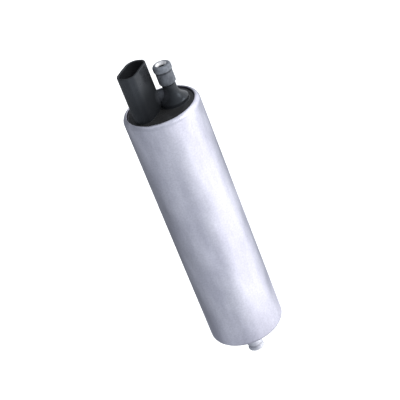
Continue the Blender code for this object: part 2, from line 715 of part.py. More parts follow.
def terminal_shapes(along, run, gap):
    """A flat blade in the socket and a narrower tab below the cap's plate.

    A run sets the tab off to the side, past the bearing boss, at the end of a flat strap.
    The gap draws the room that the terminal needs in the moulding.
    """
    thick = BLADE_THICK + 2 * gap
    blade_width = BLADE_WIDTH + 2 * gap
    tab_width = TAB_WIDTH + 2 * gap
    strap_top_z = STRAP_Z + BLADE_THICK
    joint_z = TAB_FOOT_Z + 2 * SINK
    blade_foot_z = STRAP_Z if run else joint_z
    tab_top_z = strap_top_z if run else joint_z + SINK
    blade_spot = shroud_point(along, 0.0)
    tab_spot = shroud_point(along, -run)
    shapes = [
        block_mesh(blade_width, thick, BLADE_TOP_Z + gap, blade_foot_z - gap, blade_spot, SHROUD_TURN),
        block_mesh(tab_width, thick, tab_top_z + gap, TAB_FOOT_Z - gap, tab_spot, SHROUD_TURN)]
    if run:
        strap_foot_z = CAP_PLATE_Z - SINK if gap else STRAP_Z
        strap_length = run + thick - STACK_GAP / 2
        strap_spot = shroud_point(along, -run / 2)
        shapes.append(block_mesh(
            tab_width, strap_length, strap_top_z + gap, strap_foot_z, strap_spot, SHROUD_TURN))
    return shapes


for name, along, run in (("terminal_a", BLADE_SPREAD, STRAP_RUN), ("terminal_b", -BLADE_SPREAD, 0.0)):
    solid = terminal_shapes(along, run, 0.0)
    made = place(name, solid[0], TINNED_BRASS)
    for i, shape in enumerate(solid[1:]):
        add(made, shape, "part_%d" % i)
    for i, shape in enumerate(terminal_shapes(along, run, SLOT_GAP)):
        cut(end_cap, shape, "%s_room_%d" % (name, i))

# Two chokes hang under the plate, each a ferrite rod with a copper coil.
choke_seat_z = CAP_PLATE_Z + CHOKE_SEAT_D
choke_foot_z = CAP_SKIRT_Z + CHOKE_CORE_CLEAR
choke_coil_top_z = CAP_PLATE_Z - CHOKE_COIL_DROP
choke_coil_foot_z = CAP_SKIRT_Z + CHOKE_COIL_CLEAR
for name, (x, y) in CHOKE_SPOTS.items():
    spot = (x * STACK_UNIT, y * STACK_UNIT)
    core_mesh = rod_mesh(CHOKE_CORE_R, choke_seat_z - STACK_GAP, choke_foot_z, steps=PIN_STEPS)
    place(name + "_core", core_mesh, FERRITE, spot)
    seat = rod_mesh(CHOKE_CORE_R + SLOT_GAP, choke_seat_z, CAP_PLATE_Z - OVERSHOOT, spot, PIN_STEPS)
    cut(end_cap, seat, name)
    coil(name + "_coil", CHOKE_COIL_R, CHOKE_WIRE_R, choke_coil_top_z, choke_coil_foot_z, CHOKE_TURNS,
         COPPER, spot)

# The metal outlet nipple is pressed over the post's spigot. Its mouth opens like a funnel.
bead_foot_z = NIPPLE_TOP_Z - BEAD_H
bead_centre = (NIPPLE_BEAD_R - BEAD_ROUND, NIPPLE_TOP_Z - BEAD_ROUND)
sleeve_top_z = bead_foot_z - BEAD_STEP
sleeve_bore_r = SPIGOT_R + SLEEVE_GAP
step_z = SPIGOT_TOP_Z + STACK_GAP
nipple_profile = [(NIPPLE_BORE_R, NIPPLE_TOP_Z - MOUTH_DEPTH), (MOUTH_R, NIPPLE_TOP_Z)]
nipple_profile += arc(bead_centre, BEAD_ROUND, 90, 0, 3)
nipple_profile += [
    (NIPPLE_BEAD_R, bead_foot_z), (NIPPLE_R, sleeve_top_z), (NIPPLE_R, NIPPLE_FOOT_Z + NIPPLE_FOOT_H),
    (NIPPLE_R - NIPPLE_FOOT_ROUND / 3, NIPPLE_FOOT_Z + NIPPLE_FOOT_H / 2.4),
    (NIPPLE_R - NIPPLE_FOOT_ROUND, NIPPLE_FOOT_Z), (sleeve_bore_r, NIPPLE_FOOT_Z),
    (sleeve_bore_r, step_z), (NIPPLE_BORE_R, step_z)]
turned("outlet_nipple", nipple_profile, PLATED_STEEL, BUSH_STEPS, post_at, closed=True)

# Check valve: a seat at the foot of the bore, a poppet, its spring and the stop above.
valve_ring_r = VALVE_BORE_R - SLOT_GAP
seat_foot_z = VALVE_SEAT_Z + SLOT_GAP
seat_top_z = seat_foot_z + SEAT_H
tube("check_seat", valve_ring_r, SEAT_BORE_R, seat_top_z, seat_foot_z, BRONZE, at=post_at)
cone_foot_z = seat_top_z + POPPET_GAP
head_foot_z = cone_foot_z + POPPET_CONE_H
head_top_z = head_foot_z + POPPET_HEAD_H
stem_top_z = head_top_z + POPPET_STEM_H
nose_z = seat_top_z - POPPET_NOSE_H
nose_root_r = SEAT_BORE_R - 1.5 * POPPET_GAP
poppet_profile = [
    (0.0, stem_top_z), (POPPET_STEM_R, stem_top_z), (POPPET_STEM_R, head_top_z), (POPPET_R, head_top_z),
    (POPPET_R, head_foot_z), (nose_root_r, cone_foot_z), (POPPET_NOSE_R, nose_z), (0.0, nose_z)]
turned("check_poppet", poppet_profile, NYLON, PORT_STEPS, post_at)
stop_foot_z = head_top_z + CHECK_SPRING_H
coil("check_spring", CHECK_SPRING_R, CHECK_WIRE_R, stop_foot_z - STACK_GAP, head_top_z + STACK_GAP,
     CHECK_TURNS, SPRING_STEEL, post_at)
tube("check_stop", valve_ring_r, STOP_BORE_R, stop_foot_z + STOP_H, stop_foot_z, BRONZE, at=post_at)


def ring_seal(name, groove_foot):
    """A round seal in its groove, just short of the can's wall."""
    wire = (CAN_BORE_R - RING_GROOVE_R) / 2 - RING_SQUEEZE_GAP
    middle = ((CAN_BORE_R + RING_GROOVE_R) / 2, groove_foot + RING_GROOVE_H / 2)
    turned(name, arc(middle, wire, 90, -270, 6)[:-1], SEAL_RUBBER, closed=True)


ring_seal("cap_seal", CAP_RING_GROOVE_Z)
ring_seal("cover_seal", COVER_RING_GROOVE_Z)

# Brushes press on the flat commutator. The shunt wire runs up inside the spring.
spring_top_z = GUIDE_TOP_Z - STACK_GAP
spring_foot_z = BRUSH_TOP_Z + STACK_GAP
for side, tag in ((1, "a"), (-1, "b")):
    spot = (0.0, side * BRUSH_Y)
    brush_mesh = block_mesh(BRUSH_X_SIZE, BRUSH_Y_SIZE, BRUSH_TOP_Z, BRUSH_FOOT_Z)
    place("brush_" + tag, brush_mesh, CARBON, spot)
    coil("brush_spring_" + tag, BRUSH_SPRING_R, BRUSH_WIRE_R, spring_top_z, spring_foot_z, BRUSH_TURNS,
         SPRING_STEEL, spot)
    shunt = rod_mesh(SHUNT_R, spring_top_z, spring_foot_z, steps=WIRE_STEPS)
    place("brush_shunt_" + tag, shunt, COPPER, spot)

tube("top_bush", BUSH_R, SHAFT_R + BEARING_GAP, BUSH_TOP_Z, TOP_BUSH_Z, BRONZE)

# Motor field: flux ring, two magnets and the spring clips that spread them.
tube("flux_ring", STACK_R, FLUX_INNER_R, FLUX_TOP_Z, FLUX_FOOT_Z, CORE_STEEL, ROUND_STEPS)
half_arc = MAGNET_ARC / 2
for middle, tag in ((0, "a"), (180, "b")):
    outline = arc((0, 0), MAGNET_OUTER_R, middle - half_arc, middle + half_arc, 14)
    outline += arc((0, 0), MAGNET_INNER_R, middle + half_arc, middle - half_arc, 14)
    plate("magnet_" + tag, [outline], MAGNET_TOP_Z, MAGNET_FOOT_Z, FERRITE)

clip_leg_r = MAGNET_OUTER_R - CLIP_LEG
clip_reach = 90 - half_arc - degrees(CLIP_GAP / MAGNET_INNER_R)
leg_turn = degrees(CLIP_THICK / MAGNET_INNER_R)
for middle, tag in ((90, "a"), (270, "b")):
    low, high = middle - clip_reach, middle + clip_reach
    outline = arc((0, 0), MAGNET_OUTER_R, low, high, 6)
    outline += [ray(clip_leg_r, high), ray(clip_leg_r, high - leg_turn)]
    outline += arc((0, 0), MAGNET_OUTER_R - CLIP_THICK, high - leg_turn, low + leg_turn, 6)
    outline += [ray(clip_leg_r, low + leg_turn), ray(clip_leg_r, low)]
    clip_top_z = MAGNET_TOP_Z - CLIP_INSET
    plate("magnet_clip_" + tag, [outline], clip_top_z, MAGNET_FOOT_Z + CLIP_INSET, SPRING_STEEL)

# Armature: shaft, slotted core, windings and commutator turn together.
shaft_tip_r = SHAFT_R - SHAFT_CHAMFER
shaft_profile = [
    (0.0, SHAFT_TOP_Z), (shaft_tip_r, SHAFT_TOP_Z), (SHAFT_R, SHAFT_TOP_Z - SHAFT_CHAMFER),
    (SHAFT_R, SHAFT_FOOT_Z + SHAFT_CHAMFER), (shaft_tip_r, SHAFT_FOOT_Z), (0.0, SHAFT_FOOT_Z)]
turned("shaft", shaft_profile, GROUND_STEEL, BUSH_STEPS)

core_outline = []
tooth_pitch = 360 / TEETH
tip_half = tooth_pitch / 2 - degrees(SLOT_HALF / CORE_R)
for k in range(TEETH):
    aim = tooth_pitch * k
    next_aim = aim + tooth_pitch
    core_outline += arc((0, 0), CORE_R, aim - tip_half, aim + tip_half, 4)
    core_outline.append(ray(TIP_ROOT_R, aim + tip_half))
    for reach in (TIP_NECK_R, YOKE_R):
        side_turn = degrees(atan2(TOOTH_HALF, reach))
        core_outline.append(ray(hypot(reach, TOOTH_HALF), aim + side_turn))
    for reach in (YOKE_R, TIP_NECK_R):
        side_turn = degrees(atan2(TOOTH_HALF, reach))
        core_outline.append(ray(hypot(reach, TOOTH_HALF), next_aim - side_turn))
    core_outline.append(ray(TIP_ROOT_R, next_aim - tip_half))
core_bore = circle(SHAFT_R + PRESS_GAP, BUSH_STEPS)
plate("armature_core", [core_outline, core_bore], CORE_TOP_Z, CORE_FOOT_Z, CORE_STEEL)


def crown(foot, rise):
    """One end of the windings: a thick ring of wire with rounded shoulders.

    The rise is the crown's height, and is negative for the crown under the core.
    """
    top = foot + rise
    shoulder = top - CROWN_SHOULDER * rise / abs(rise)
    profile = [
        (CROWN_DIP_R, top), (CROWN_TOP_R, top), (CROWN_R, shoulder), (CROWN_R, foot),
        (CROWN_BORE_R, foot), (CROWN_BORE_R, shoulder), (CROWN_INNER_TOP_R, top)]
    return turned_mesh(profile, BUSH_STEPS, closed=True)


slot_bars = []
for k in range(TEETH):
    aim = radians(tooth_pitch * (k + 0.5))
    bar = [
        (BAR_INNER_R, -BAR_INNER_HALF), (BAR_OUTER_R, -BAR_OUTER_HALF),
        (BAR_OUTER_R, BAR_OUTER_HALF), (BAR_INNER_R, BAR_INNER_HALF)]
    outline = [(x * cos(aim) - y * sin(aim), x * sin(aim) + y * cos(aim)) for x, y in bar]
    slot_bars.append(plate_mesh([outline], CORE_TOP_Z + 2 * SINK, CORE_FOOT_Z - 2 * SINK))
windings = place("windings", merged(slot_bars), COPPER)
add(windings, crown(CORE_TOP_Z + CROWN_GAP, CROWN_H), "top_crown")
add(windings, crown(CORE_FOOT_Z - CROWN_GAP, -CROWN_H), "lower_crown")

commutator_foot_z = COMMUTATOR_FACE_Z - COMMUTATOR_H
hub_foot_z = CORE_TOP_Z + CROWN_GAP + CROWN_H + HUB_GAP
washer_top_z = TOP_BUSH_Z - WASHER_GAP
washer_foot_z = washer_top_z - WASHER_H
hub_top_z = washer_foot_z - STACK_GAP
hub_bore_r = SHAFT_R + PRESS_GAP
commutator_profile = [
    (COMMUTATOR_BORE_R, hub_top_z), (COMMUTATOR_BORE_R, COMMUTATOR_FACE_Z), (COMMUTATOR_R, COMMUTATOR_FACE_Z),
    (COMMUTATOR_R, commutator_foot_z), (COMMUTATOR_HUB_R, commutator_foot_z), (COMMUTATOR_HUB_R, hub_foot_z),
    (hub_bore_r, hub_foot_z), (hub_bore_r, hub_top_z)]
commutator = turned("commutator", commutator_profile, COPPER, BORE_STEPS, closed=True)
slots = []
slot_top_z = COMMUTATOR_FACE_Z + BAR_SLOT_DEPTH
slot_floor_z = COMMUTATOR_FACE_Z - BAR_SLOT_DEPTH
for k in range(TEETH):
    aim = tooth_pitch * (k + 0.5)
    slots.append(block_mesh(
        BAR_SLOT_LENGTH, BAR_SLOT_WIDTH, slot_top_z, slot_floor_z, ray(BAR_SLOT_R, aim), radians(aim)))
cut(commutator, merged(slots), "bar_slots")
tube("top_washer", TOP_WASHER_R, SHAFT_R + BEARING_GAP, washer_top_z, washer_foot_z, WASHER_FIBRE)

tube("lower_bush", LOWER_BUSH_R, SHAFT_R + BEARING_GAP, LOWER_BUSH_TOP_Z, LOWER_BUSH_FOOT_Z, BRONZE)
lower_washer_z = LOWER_BUSH_TOP_Z + WASHER_GAP
tube("lower_washer", LOWER_WASHER_R, SHAFT_R + BEARING_GAP, lower_washer_z + WASHER_H, lower_washer_z,
     WASHER_FIBRE)


def kidney(side_angle, top, foot):
    """A curved port between two radii, on one side of the shaft."""
    start, end = side_angle - KIDNEY_HALF_ARC, side_angle + KIDNEY_HALF_ARC
    outline = arc((0, 0), KIDNEY_OUTER_R, start, end, 9)
    outline += arc((0, 0), KIDNEY_INNER_R, end, start, 9)
    return plate_mesh([outline], top + OVERSHOOT, foot - OVERSHOOT)


def stack_disc(name, top, foot, hole_top, finish):
    """A ground disc of the pump stack with its dowel holes and relief passage."""
    disc = place(name, rod_mesh(STACK_R, top, foot, steps=ROUND_STEPS), finish)
    for side, tag in ((1, "a"), (-1, "b")):
        hole = rod_mesh(DOWEL_R + SLOT_GAP, hole_top, foot - OVERSHOOT, (0.0, side * DOWEL_Y), PIN_STEPS)
        cut(disc, hole, "dowel_hole_" + tag)
    relief = rod_mesh(RELIEF_PORT_R, top + OVERSHOOT, foot - OVERSHOOT, (RELIEF_X, 0.0), PORT_STEPS)
    cut(disc, relief, "relief_passage")
    return disc


# The pump stack: top plate, eccentric ring and foot plate, held in line by two dowels.
top_plate = stack_disc("top_plate", TOP_PLATE_Z, TOP_PLATE_FOOT_Z, DOWEL_TOP_Z + DOWEL_END_GAP, CAST_COVER)
cut(top_plate, rod_mesh(LOWER_BUSH_R + SLOT_GAP, TOP_PLATE_Z + OVERSHOOT, COUPLING_ROOM_Z), "bush_seat")
coupling_room = rod_mesh(
    COUPLING_ROOM_R, COUPLING_ROOM_Z + COUPLING_GAP, TOP_PLATE_FOOT_Z - OVERSHOOT, steps=BORE_STEPS)
cut(top_plate, coupling_room, "coupling_room")
cut(top_plate, kidney(OUTLET_SIDE_ANGLE, TOP_PLATE_Z, TOP_PLATE_FOOT_Z), "outlet_port")

eccentric_ring = stack_disc("eccentric_ring", RING_TOP_Z, RING_FOOT_Z, RING_TOP_Z + OVERSHOOT, SINTERED)
rotor_bore_r = OUTER_ROTOR_R + BEARING_GAP
ring_bore = rod_mesh(
    rotor_bore_r, RING_TOP_Z + OVERSHOOT, RING_FOOT_Z - OVERSHOOT, (OFFSET_X, 0.0), ROUND_STEPS)
cut(eccentric_ring, ring_bore, "rotor_bore")

foot_plate = stack_disc("foot_plate", FOOT_PLATE_Z, PLATE_FOOT_Z, FOOT_PLATE_Z + OVERSHOOT, CAST_COVER)
shaft_pocket = rod_mesh(SHAFT_R + 2 * BEARING_GAP, FOOT_PLATE_Z + OVERSHOOT, SHAFT_FOOT_Z - SHAFT_END_GAP)
cut(foot_plate, shaft_pocket, "shaft_room")
cut(foot_plate, kidney(INLET_SIDE_ANGLE, FOOT_PLATE_Z, PLATE_FOOT_Z), "inlet_port")
for side, tag in ((1, "a"), (-1, "b")):
    dowel = rod_mesh(DOWEL_R, DOWEL_TOP_Z, DOWEL_FOOT_Z, steps=PIN_STEPS)
    place("dowel_" + tag, dowel, GROUND_STEEL, (0.0, side * DOWEL_Y))

# Drive coupling: a hub on the shaft whose three dogs reach down into the inner rotor.
dog_spots = [ray(DOG_CIRCLE_R, angle) for angle in (90, 210, 330)]
coupling = tube(
    "drive_coupling", COUPLING_R, SHAFT_R + PRESS_GAP, COUPLING_TOP_Z, COUPLING_FOOT_Z, NYLON, BORE_STEPS)
for i, spot in enumerate(dog_spots):
    dog = rod_mesh(DOG_R, COUPLING_FOOT_Z + SINK, RING_TOP_Z - DOG_REACH, spot, PIN_STEPS)
    add(coupling, dog, "dog_%d" % i)


def thinned(points, turn, reach):
    """The points of a fine closed outline where it has turned or run far enough."""
    kept = [points[0]]
    turned_by = run = 0.0
    for i in range(1, len(points)):
        x, y = points[i]
        ax, ay = x - points[i - 1][0], y - points[i - 1][1]
        bx, by = points[(i + 1) % len(points)][0] - x, points[(i + 1) % len(points)][1] - y
        turned_by += abs(atan2(ax * by - ay * bx, ax * bx + ay * by))
        run += hypot(ax, ay)
        if turned_by > turn or run > reach:
            kept.append(points[i])
            turned_by = run = 0.0
    return kept


def inner_rotor_outline(count):
    """Teeth of the inner rotor: the path of an outer lobe's centre, drawn in by the lobe's radius."""
    points = []
    for i in range(count):
        t = 2 * pi * i / count
        x = LOBE_PITCH_R * cos(t) + OFFSET_X * cos(OUTER_TEETH * t)
        y = LOBE_PITCH_R * sin(t) + OFFSET_X * sin(OUTER_TEETH * t)
        dx = -LOBE_PITCH_R * sin(t) - OUTER_TEETH * OFFSET_X * sin(OUTER_TEETH * t)
        dy = LOBE_PITCH_R * cos(t) + OUTER_TEETH * OFFSET_X * cos(OUTER_TEETH * t)
        inward = (LOBE_R + MESH_GAP) / hypot(dx, dy)
        points.append((x - dy * inward, y + dx * inward))
    return thinned(points, radians(16), LOBE_R / 3)


def outer_rotor_outline(count):
    """The ring's inner outline: round lobes on a circle, joined by arcs of the root circle."""
    half = acos((LOBE_PITCH_R**2 + ROOT_R**2 - LOBE_R**2) / (2 * LOBE_PITCH_R * ROOT_R))
    pitch = 2 * pi / OUTER_TEETH
    points = []
    for k in range(OUTER_TEETH):
        aim = pitch * k
        centre = (LOBE_PITCH_R * cos(aim), LOBE_PITCH_R * sin(aim))
        entry = (ROOT_R * cos(aim - half), ROOT_R * sin(aim - half))
        start = degrees(atan2(entry[1] - centre[1], entry[0] - centre[0]) - aim) % 360
        points += arc(centre, LOBE_R, start + degrees(aim), 360 - start + degrees(aim), count)
        points += arc((0, 0), ROOT_R, degrees(aim + half), degrees(aim + pitch - half), 3)[1:-1]
    return points


rotor_top_z = RING_TOP_Z - ROTOR_END_GAP
rotor_foot_z = RING_FOOT_Z + ROTOR_END_GAP
inner_outlines = [inner_rotor_outline(2880), circle(SHAFT_R + BEARING_GAP, BUSH_STEPS)]
inner_outlines += [circle(DOG_R + BEARING_GAP, PIN_STEPS, spot) for spot in dog_spots]
plate("inner_rotor", inner_outlines, rotor_top_z, rotor_foot_z, SINTERED)
outer_outlines = [circle(OUTER_ROTOR_R, ROUND_STEPS), outer_rotor_outline(8)]
plate("outer_rotor", outer_outlines, rotor_top_z, rotor_foot_z, SINTERED, (OFFSET_X, 0.0))

# The inlet cover closes the foot: chamber, ridged hose nipple and the relief valve's bore.
cover_profile = [(0.0, COVER_TOP_Z), (STACK_R, COVER_TOP_Z)]
cover_profile += groove(COVER_RING_GROOVE_Z)
cover_profile += arc(foot_centre, STACK_R - foot_centre[0], 0, -90, 2)
cover_profile += [
    (COVER_FACE_R, FOOT_Z + COVER_STEP_H), (COVER_FACE_R, COVER_FACE_Z + COVER_CHAMFER),
    (COVER_FACE_R - COVER_CHAMFER, COVER_FACE_Z), (0.0, COVER_FACE_Z)]
inlet_cover = turned("inlet_cover", cover_profile, CAST_COVER)

fillet_foot_z = COVER_FACE_Z - INLET_FILLET_H
inlet_profile = [
    (0.0, COVER_FACE_Z + SINK), (INLET_BASE_R, COVER_FACE_Z + SINK),
    (INLET_BASE_R, COVER_FACE_Z - INLET_FILLET_H / 12),
    (INLET_FILLET_R, COVER_FACE_Z - INLET_FILLET_H / 3), (INLET_R, fillet_foot_z)]
for ridge_z in (INLET_TIP_Z + RIDGE_TIP + RIDGE_PITCH, INLET_TIP_Z + RIDGE_TIP):
    inlet_profile += [
        (INLET_R, ridge_z + RIDGE_RISE), (RIDGE_R, ridge_z + RIDGE_LIP),
        (RIDGE_CREST_R, ridge_z - RIDGE_FALL)]
    if ridge_z > INLET_TIP_Z + RIDGE_PITCH:
        inlet_profile.append((INLET_R, ridge_z - RIDGE_RISE))
inlet_profile += [(INLET_R, INLET_TIP_Z), (0.0, INLET_TIP_Z)]
add(inlet_cover, turned_mesh(inlet_profile, BUSH_STEPS), "nipple")

ledge_foot_z = CHAMBER_Z - LEDGE_DROP
cone_foot_z = ledge_foot_z - CONE_DROP
chamber_profile = [
    (0.0, COVER_TOP_Z + OVERSHOOT), (CHAMBER_R, COVER_TOP_Z + OVERSHOOT), (CHAMBER_R, CHAMBER_Z),
    (LEDGE_R, CHAMBER_Z), (LEDGE_R, ledge_foot_z), (INLET_BORE_R, cone_foot_z),
    (INLET_BORE_R, INLET_TIP_Z - OVERSHOOT), (0.0, INLET_TIP_Z - OVERSHOOT)]
cut(inlet_cover, turned_mesh(chamber_profile, BUSH_STEPS), "chamber")
for side, tag in ((1, "a"), (-1, "b")):
    hole_foot_z = DOWEL_FOOT_Z - DOWEL_END_GAP
    hole = rod_mesh(
        DOWEL_R + SLOT_GAP, COVER_TOP_Z + OVERSHOOT, hole_foot_z, (0.0, side * DOWEL_Y), PIN_STEPS)
    cut(inlet_cover, hole, "dowel_hole_" + tag)
relief_at = (RELIEF_X, 0.0)
relief_bore = rod_mesh(RELIEF_BORE_R, COVER_TOP_Z + OVERSHOOT, RELIEF_FLOOR_Z, relief_at, PORT_STEPS)
cut(inlet_cover, relief_bore, "relief_bore")
slot_z = RELIEF_FLOOR_Z + RELIEF_SLOT_RISE
slot_size = (RELIEF_SLOT_LENGTH, RELIEF_SLOT_SIZE, RELIEF_SLOT_SIZE)
cut(inlet_cover, box_mesh(slot_size, (RELIEF_X + RELIEF_SLOT_X, 0.0, slot_z)), "relief_slot")

# Relief valve: a ball pressed up against the foot plate's passage.
ball_z = PLATE_FOOT_Z - sqrt(RELIEF_BALL_R**2 - RELIEF_PORT_R**2) - BALL_GAP
ball = bmesh.new()
bmesh.ops.create_uvsphere(ball, u_segments=14, v_segments=8, radius=RELIEF_BALL_R * MM)
ball.transform(Matrix.Translation((0, 0, ball_z * MM)))
ball_mesh = bpy.data.meshes.new("ball")
ball.to_mesh(ball_mesh)
ball.free()
place("relief_ball", ball_mesh, GROUND_STEEL, relief_at)
relief_spring_top_z = ball_z - RELIEF_BALL_R * BALL_SEAT_SHARE
coil("relief_spring", RELIEF_SPRING_R, RELIEF_WIRE_R, relief_spring_top_z, RELIEF_FLOOR_Z + STACK_GAP,
     RELIEF_TURNS, SPRING_STEEL, relief_at)

# The strainer lies on the ledge of the inlet chamber.
strainer_outlines = [circle(CHAMBER_R - STRAINER_GAP, BORE_STEPS)]
for ring_r in STRAINER_RING_R:
    hole_count = round(2 * pi * ring_r / STRAINER_HOLE_PITCH)
    for k in range(hole_count):
        centre = ray(ring_r, 360 / hole_count * k)
        strainer_outlines.append(circle(STRAINER_HOLE_R, STRAINER_HOLE_STEPS, centre))
strainer_foot_z = CHAMBER_Z + STACK_GAP
plate("strainer", strainer_outlines, strainer_foot_z + STRAINER_H, strainer_foot_z, PLATED_STEEL)
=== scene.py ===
# %% [markdown]
# # A fuel pump, from its frame to its finish
#
# An in-line electric fuel pump is, from outside, a long rolled can, a black end cap that carries a connector
# shroud and an outlet post, and a metal hose nipple at each end. The frame already holds every solid at its
# real size. Rendered as they are, those solids would show their facets. So this lesson makes smooth surfaces
# for the four pieces that show and gives every piece a procedural finish. The frame is loaded first.

# %% Load the frame
import json
from math import acos, atan2, cos, degrees, pi, radians, sin

import bmesh
import bpy
from mathutils import Matrix, Vector


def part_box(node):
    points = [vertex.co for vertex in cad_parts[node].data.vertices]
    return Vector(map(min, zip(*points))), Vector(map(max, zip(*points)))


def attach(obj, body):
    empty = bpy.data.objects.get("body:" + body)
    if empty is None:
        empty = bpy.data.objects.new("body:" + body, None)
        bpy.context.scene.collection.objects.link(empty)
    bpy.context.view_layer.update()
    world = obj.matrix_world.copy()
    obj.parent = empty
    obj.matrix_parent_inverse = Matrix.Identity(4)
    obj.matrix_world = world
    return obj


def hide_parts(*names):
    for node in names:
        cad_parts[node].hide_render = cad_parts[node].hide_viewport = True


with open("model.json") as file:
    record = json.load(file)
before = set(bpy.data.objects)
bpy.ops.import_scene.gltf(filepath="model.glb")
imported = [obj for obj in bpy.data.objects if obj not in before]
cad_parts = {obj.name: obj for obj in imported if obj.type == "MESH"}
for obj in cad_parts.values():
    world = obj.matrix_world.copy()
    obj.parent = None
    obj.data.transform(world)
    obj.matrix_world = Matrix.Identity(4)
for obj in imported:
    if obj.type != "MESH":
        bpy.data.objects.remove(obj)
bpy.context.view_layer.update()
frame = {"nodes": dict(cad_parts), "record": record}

MM = 0.001

# %% [markdown]
# Sizes could be typed in again, but a change in the frame would then leave the surfaces
# behind. Here they are read from the frame's own boxes, in millimetres, so each new surface
# lies where the solid under it lies. The can's length is typed once, because the faceted roll
# of its solid ends just short of the true rim.

# %% Sizes taken from the frame
def box_mm(node):
    """A node's lowest and highest corner in millimetres."""
    low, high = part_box(node)
    return [v / MM for v in low], [v / MM for v in high]


can_low, can_high = box_mm("can")
CAN_R = can_high[0]
CAN_LENGTH = 152.5
FOOT_Z = can_low[2]
RIM_Z = FOOT_Z + CAN_LENGTH
print("can radius", round(CAN_R, 2), "foot at", round(FOOT_Z, 2), "rim at", round(RIM_Z, 2))

# %% [markdown]
# Most pieces of this pump are drawn or turned, so they are round about an axis. A ready-made
# cylinder could be cut and bevelled into such a form, but a section is shorter and more exact:
# a list of (radius, height) points, which is copied round the axis. A point that stands on the
# axis becomes one vertex, so the end closes without a hole. Arcs keep a section short to write
# and round to look at.

# %% Helpers for turned surfaces
def arc(centre, radius, start, end, count):
    """Points on an arc, both ends included; the angles are in degrees."""
    steps = [radians(start + (end - start) * i / count) for i in range(count + 1)]
    return [(centre[0] + radius * cos(a), centre[1] + radius * sin(a)) for a in steps]


def turn_into(shape, section, steps, at=(0.0, 0.0), closed=False):
    """Add a turned surface to a bmesh. The section runs down the outer side."""
    rings = []
    for r, z in section:
        if r < 1e-6:
            rings.append([shape.verts.new((at[0] * MM, at[1] * MM, z * MM))])
            continue
        turns = [2 * pi * k / steps for k in range(steps)]
        points = [(at[0] + r * cos(a), at[1] + r * sin(a)) for a in turns]
        rings.append([shape.verts.new((x * MM, y * MM, z * MM)) for x, y in points])
    pairs = list(zip(rings, rings[1:]))
    if closed:
        pairs.append((rings[-1], rings[0]))
    for upper, lower in pairs:
        for k in range(steps):
            n = (k + 1) % steps
            if len(upper) == 1:
                shape.faces.new((upper[0], lower[k], lower[n]))
            elif len(lower) == 1:
                shape.faces.new((upper[k], lower[0], upper[n]))
            else:
                shape.faces.new((upper[k], lower[k], lower[n], upper[n]))


# %% [markdown]
# Each surface becomes one object. It could have very many flat faces, but smooth shading gives soft roundings
# from few, with sharp edges only where two faces meet at a steep angle. The object rides on the housing,
# hides the node that it dresses, and is noted under its material slot, so that its finish can be found later.

# %% Helper that makes a piece
SHARP_ANGLE = radians(38)
dressed = {}


def finish_piece(name, shape, node, slot):
    """Turn a bmesh into a smooth object that rides on the housing and hides the node it dresses."""
    bmesh.ops.recalc_face_normals(shape, faces=shape.faces)
    mesh = bpy.data.meshes.new(name)
    shape.to_mesh(mesh)
    shape.free()
    mesh.shade_smooth()
    mesh.set_sharp_from_angle(angle=SHARP_ANGLE)
    piece = bpy.data.objects.new(name, mesh)
    bpy.context.scene.collection.objects.link(piece)
    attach(piece, "housing")
    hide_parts(node)
    dressed[slot] = piece
    print(name, "has", len(mesh.polygons), "faces")


# %% [markdown]
# The can is one drawn tube. Its rim is rolled in over the cap with a generous shoulder, and
# its foot is rolled in more tightly under the inlet cover. A cylinder with bevelled ends would
# come close, but it would have no lips. Here both rolls are arcs in the section, and each
# mouth ends in a small rounded lip, which catches a thin line of light. The straight wall is
# cut into bands, which keeps its shading even.

# %% The can
CAN_WALL = 1.3
RIM_ROLL_R = 3.0
RIM_MOUTH_R = 19.05
FOOT_ROLL_R = 2.5
FOOT_MOUTH_R = 17.5
LIP_ROUND = 0.3
LIP_DROP = 0.1
WALL_BANDS = 24
CAN_STEPS = 200

rim_centre = (CAN_R - RIM_ROLL_R, RIM_Z - RIM_ROLL_R)
foot_centre = (CAN_R - FOOT_ROLL_R, FOOT_Z + FOOT_ROLL_R)
rim_end = degrees(acos((RIM_MOUTH_R + LIP_ROUND - rim_centre[0]) / RIM_ROLL_R))
section = arc((RIM_MOUTH_R + LIP_ROUND, RIM_Z - LIP_ROUND - LIP_DROP), LIP_ROUND, 180, 100, 5)
section += arc(rim_centre, RIM_ROLL_R, rim_end, 0, 14)
for k in range(1, WALL_BANDS):
    section.append((CAN_R, rim_centre[1] + (foot_centre[1] - rim_centre[1]) * k / WALL_BANDS))
section += arc(foot_centre, FOOT_ROLL_R, 0, -90, 12)
section += arc((FOOT_MOUTH_R + LIP_ROUND, FOOT_Z + LIP_ROUND), LIP_ROUND, -90, -180, 4)
section += [(FOOT_MOUTH_R, FOOT_Z + CAN_WALL)]
section += arc(foot_centre, FOOT_ROLL_R - CAN_WALL, -90, 0, 5)
section += arc(rim_centre, RIM_ROLL_R - CAN_WALL, 0, rim_end, 6)
shape = bmesh.new()
turn_into(shape, section, CAN_STEPS, closed=True)
finish_piece("rolled_can", shape, "can", "satin_can")

# %% [markdown]
# Moulded parts have corners with a radius. An outline with such corners could be drawn by hand,
# point by point, but a list of corners with their radii says the same in a few numbers and is
# easy to change. This helper puts an arc in each corner and points along each straight run, so
# that outlines with equal counts can be joined later.

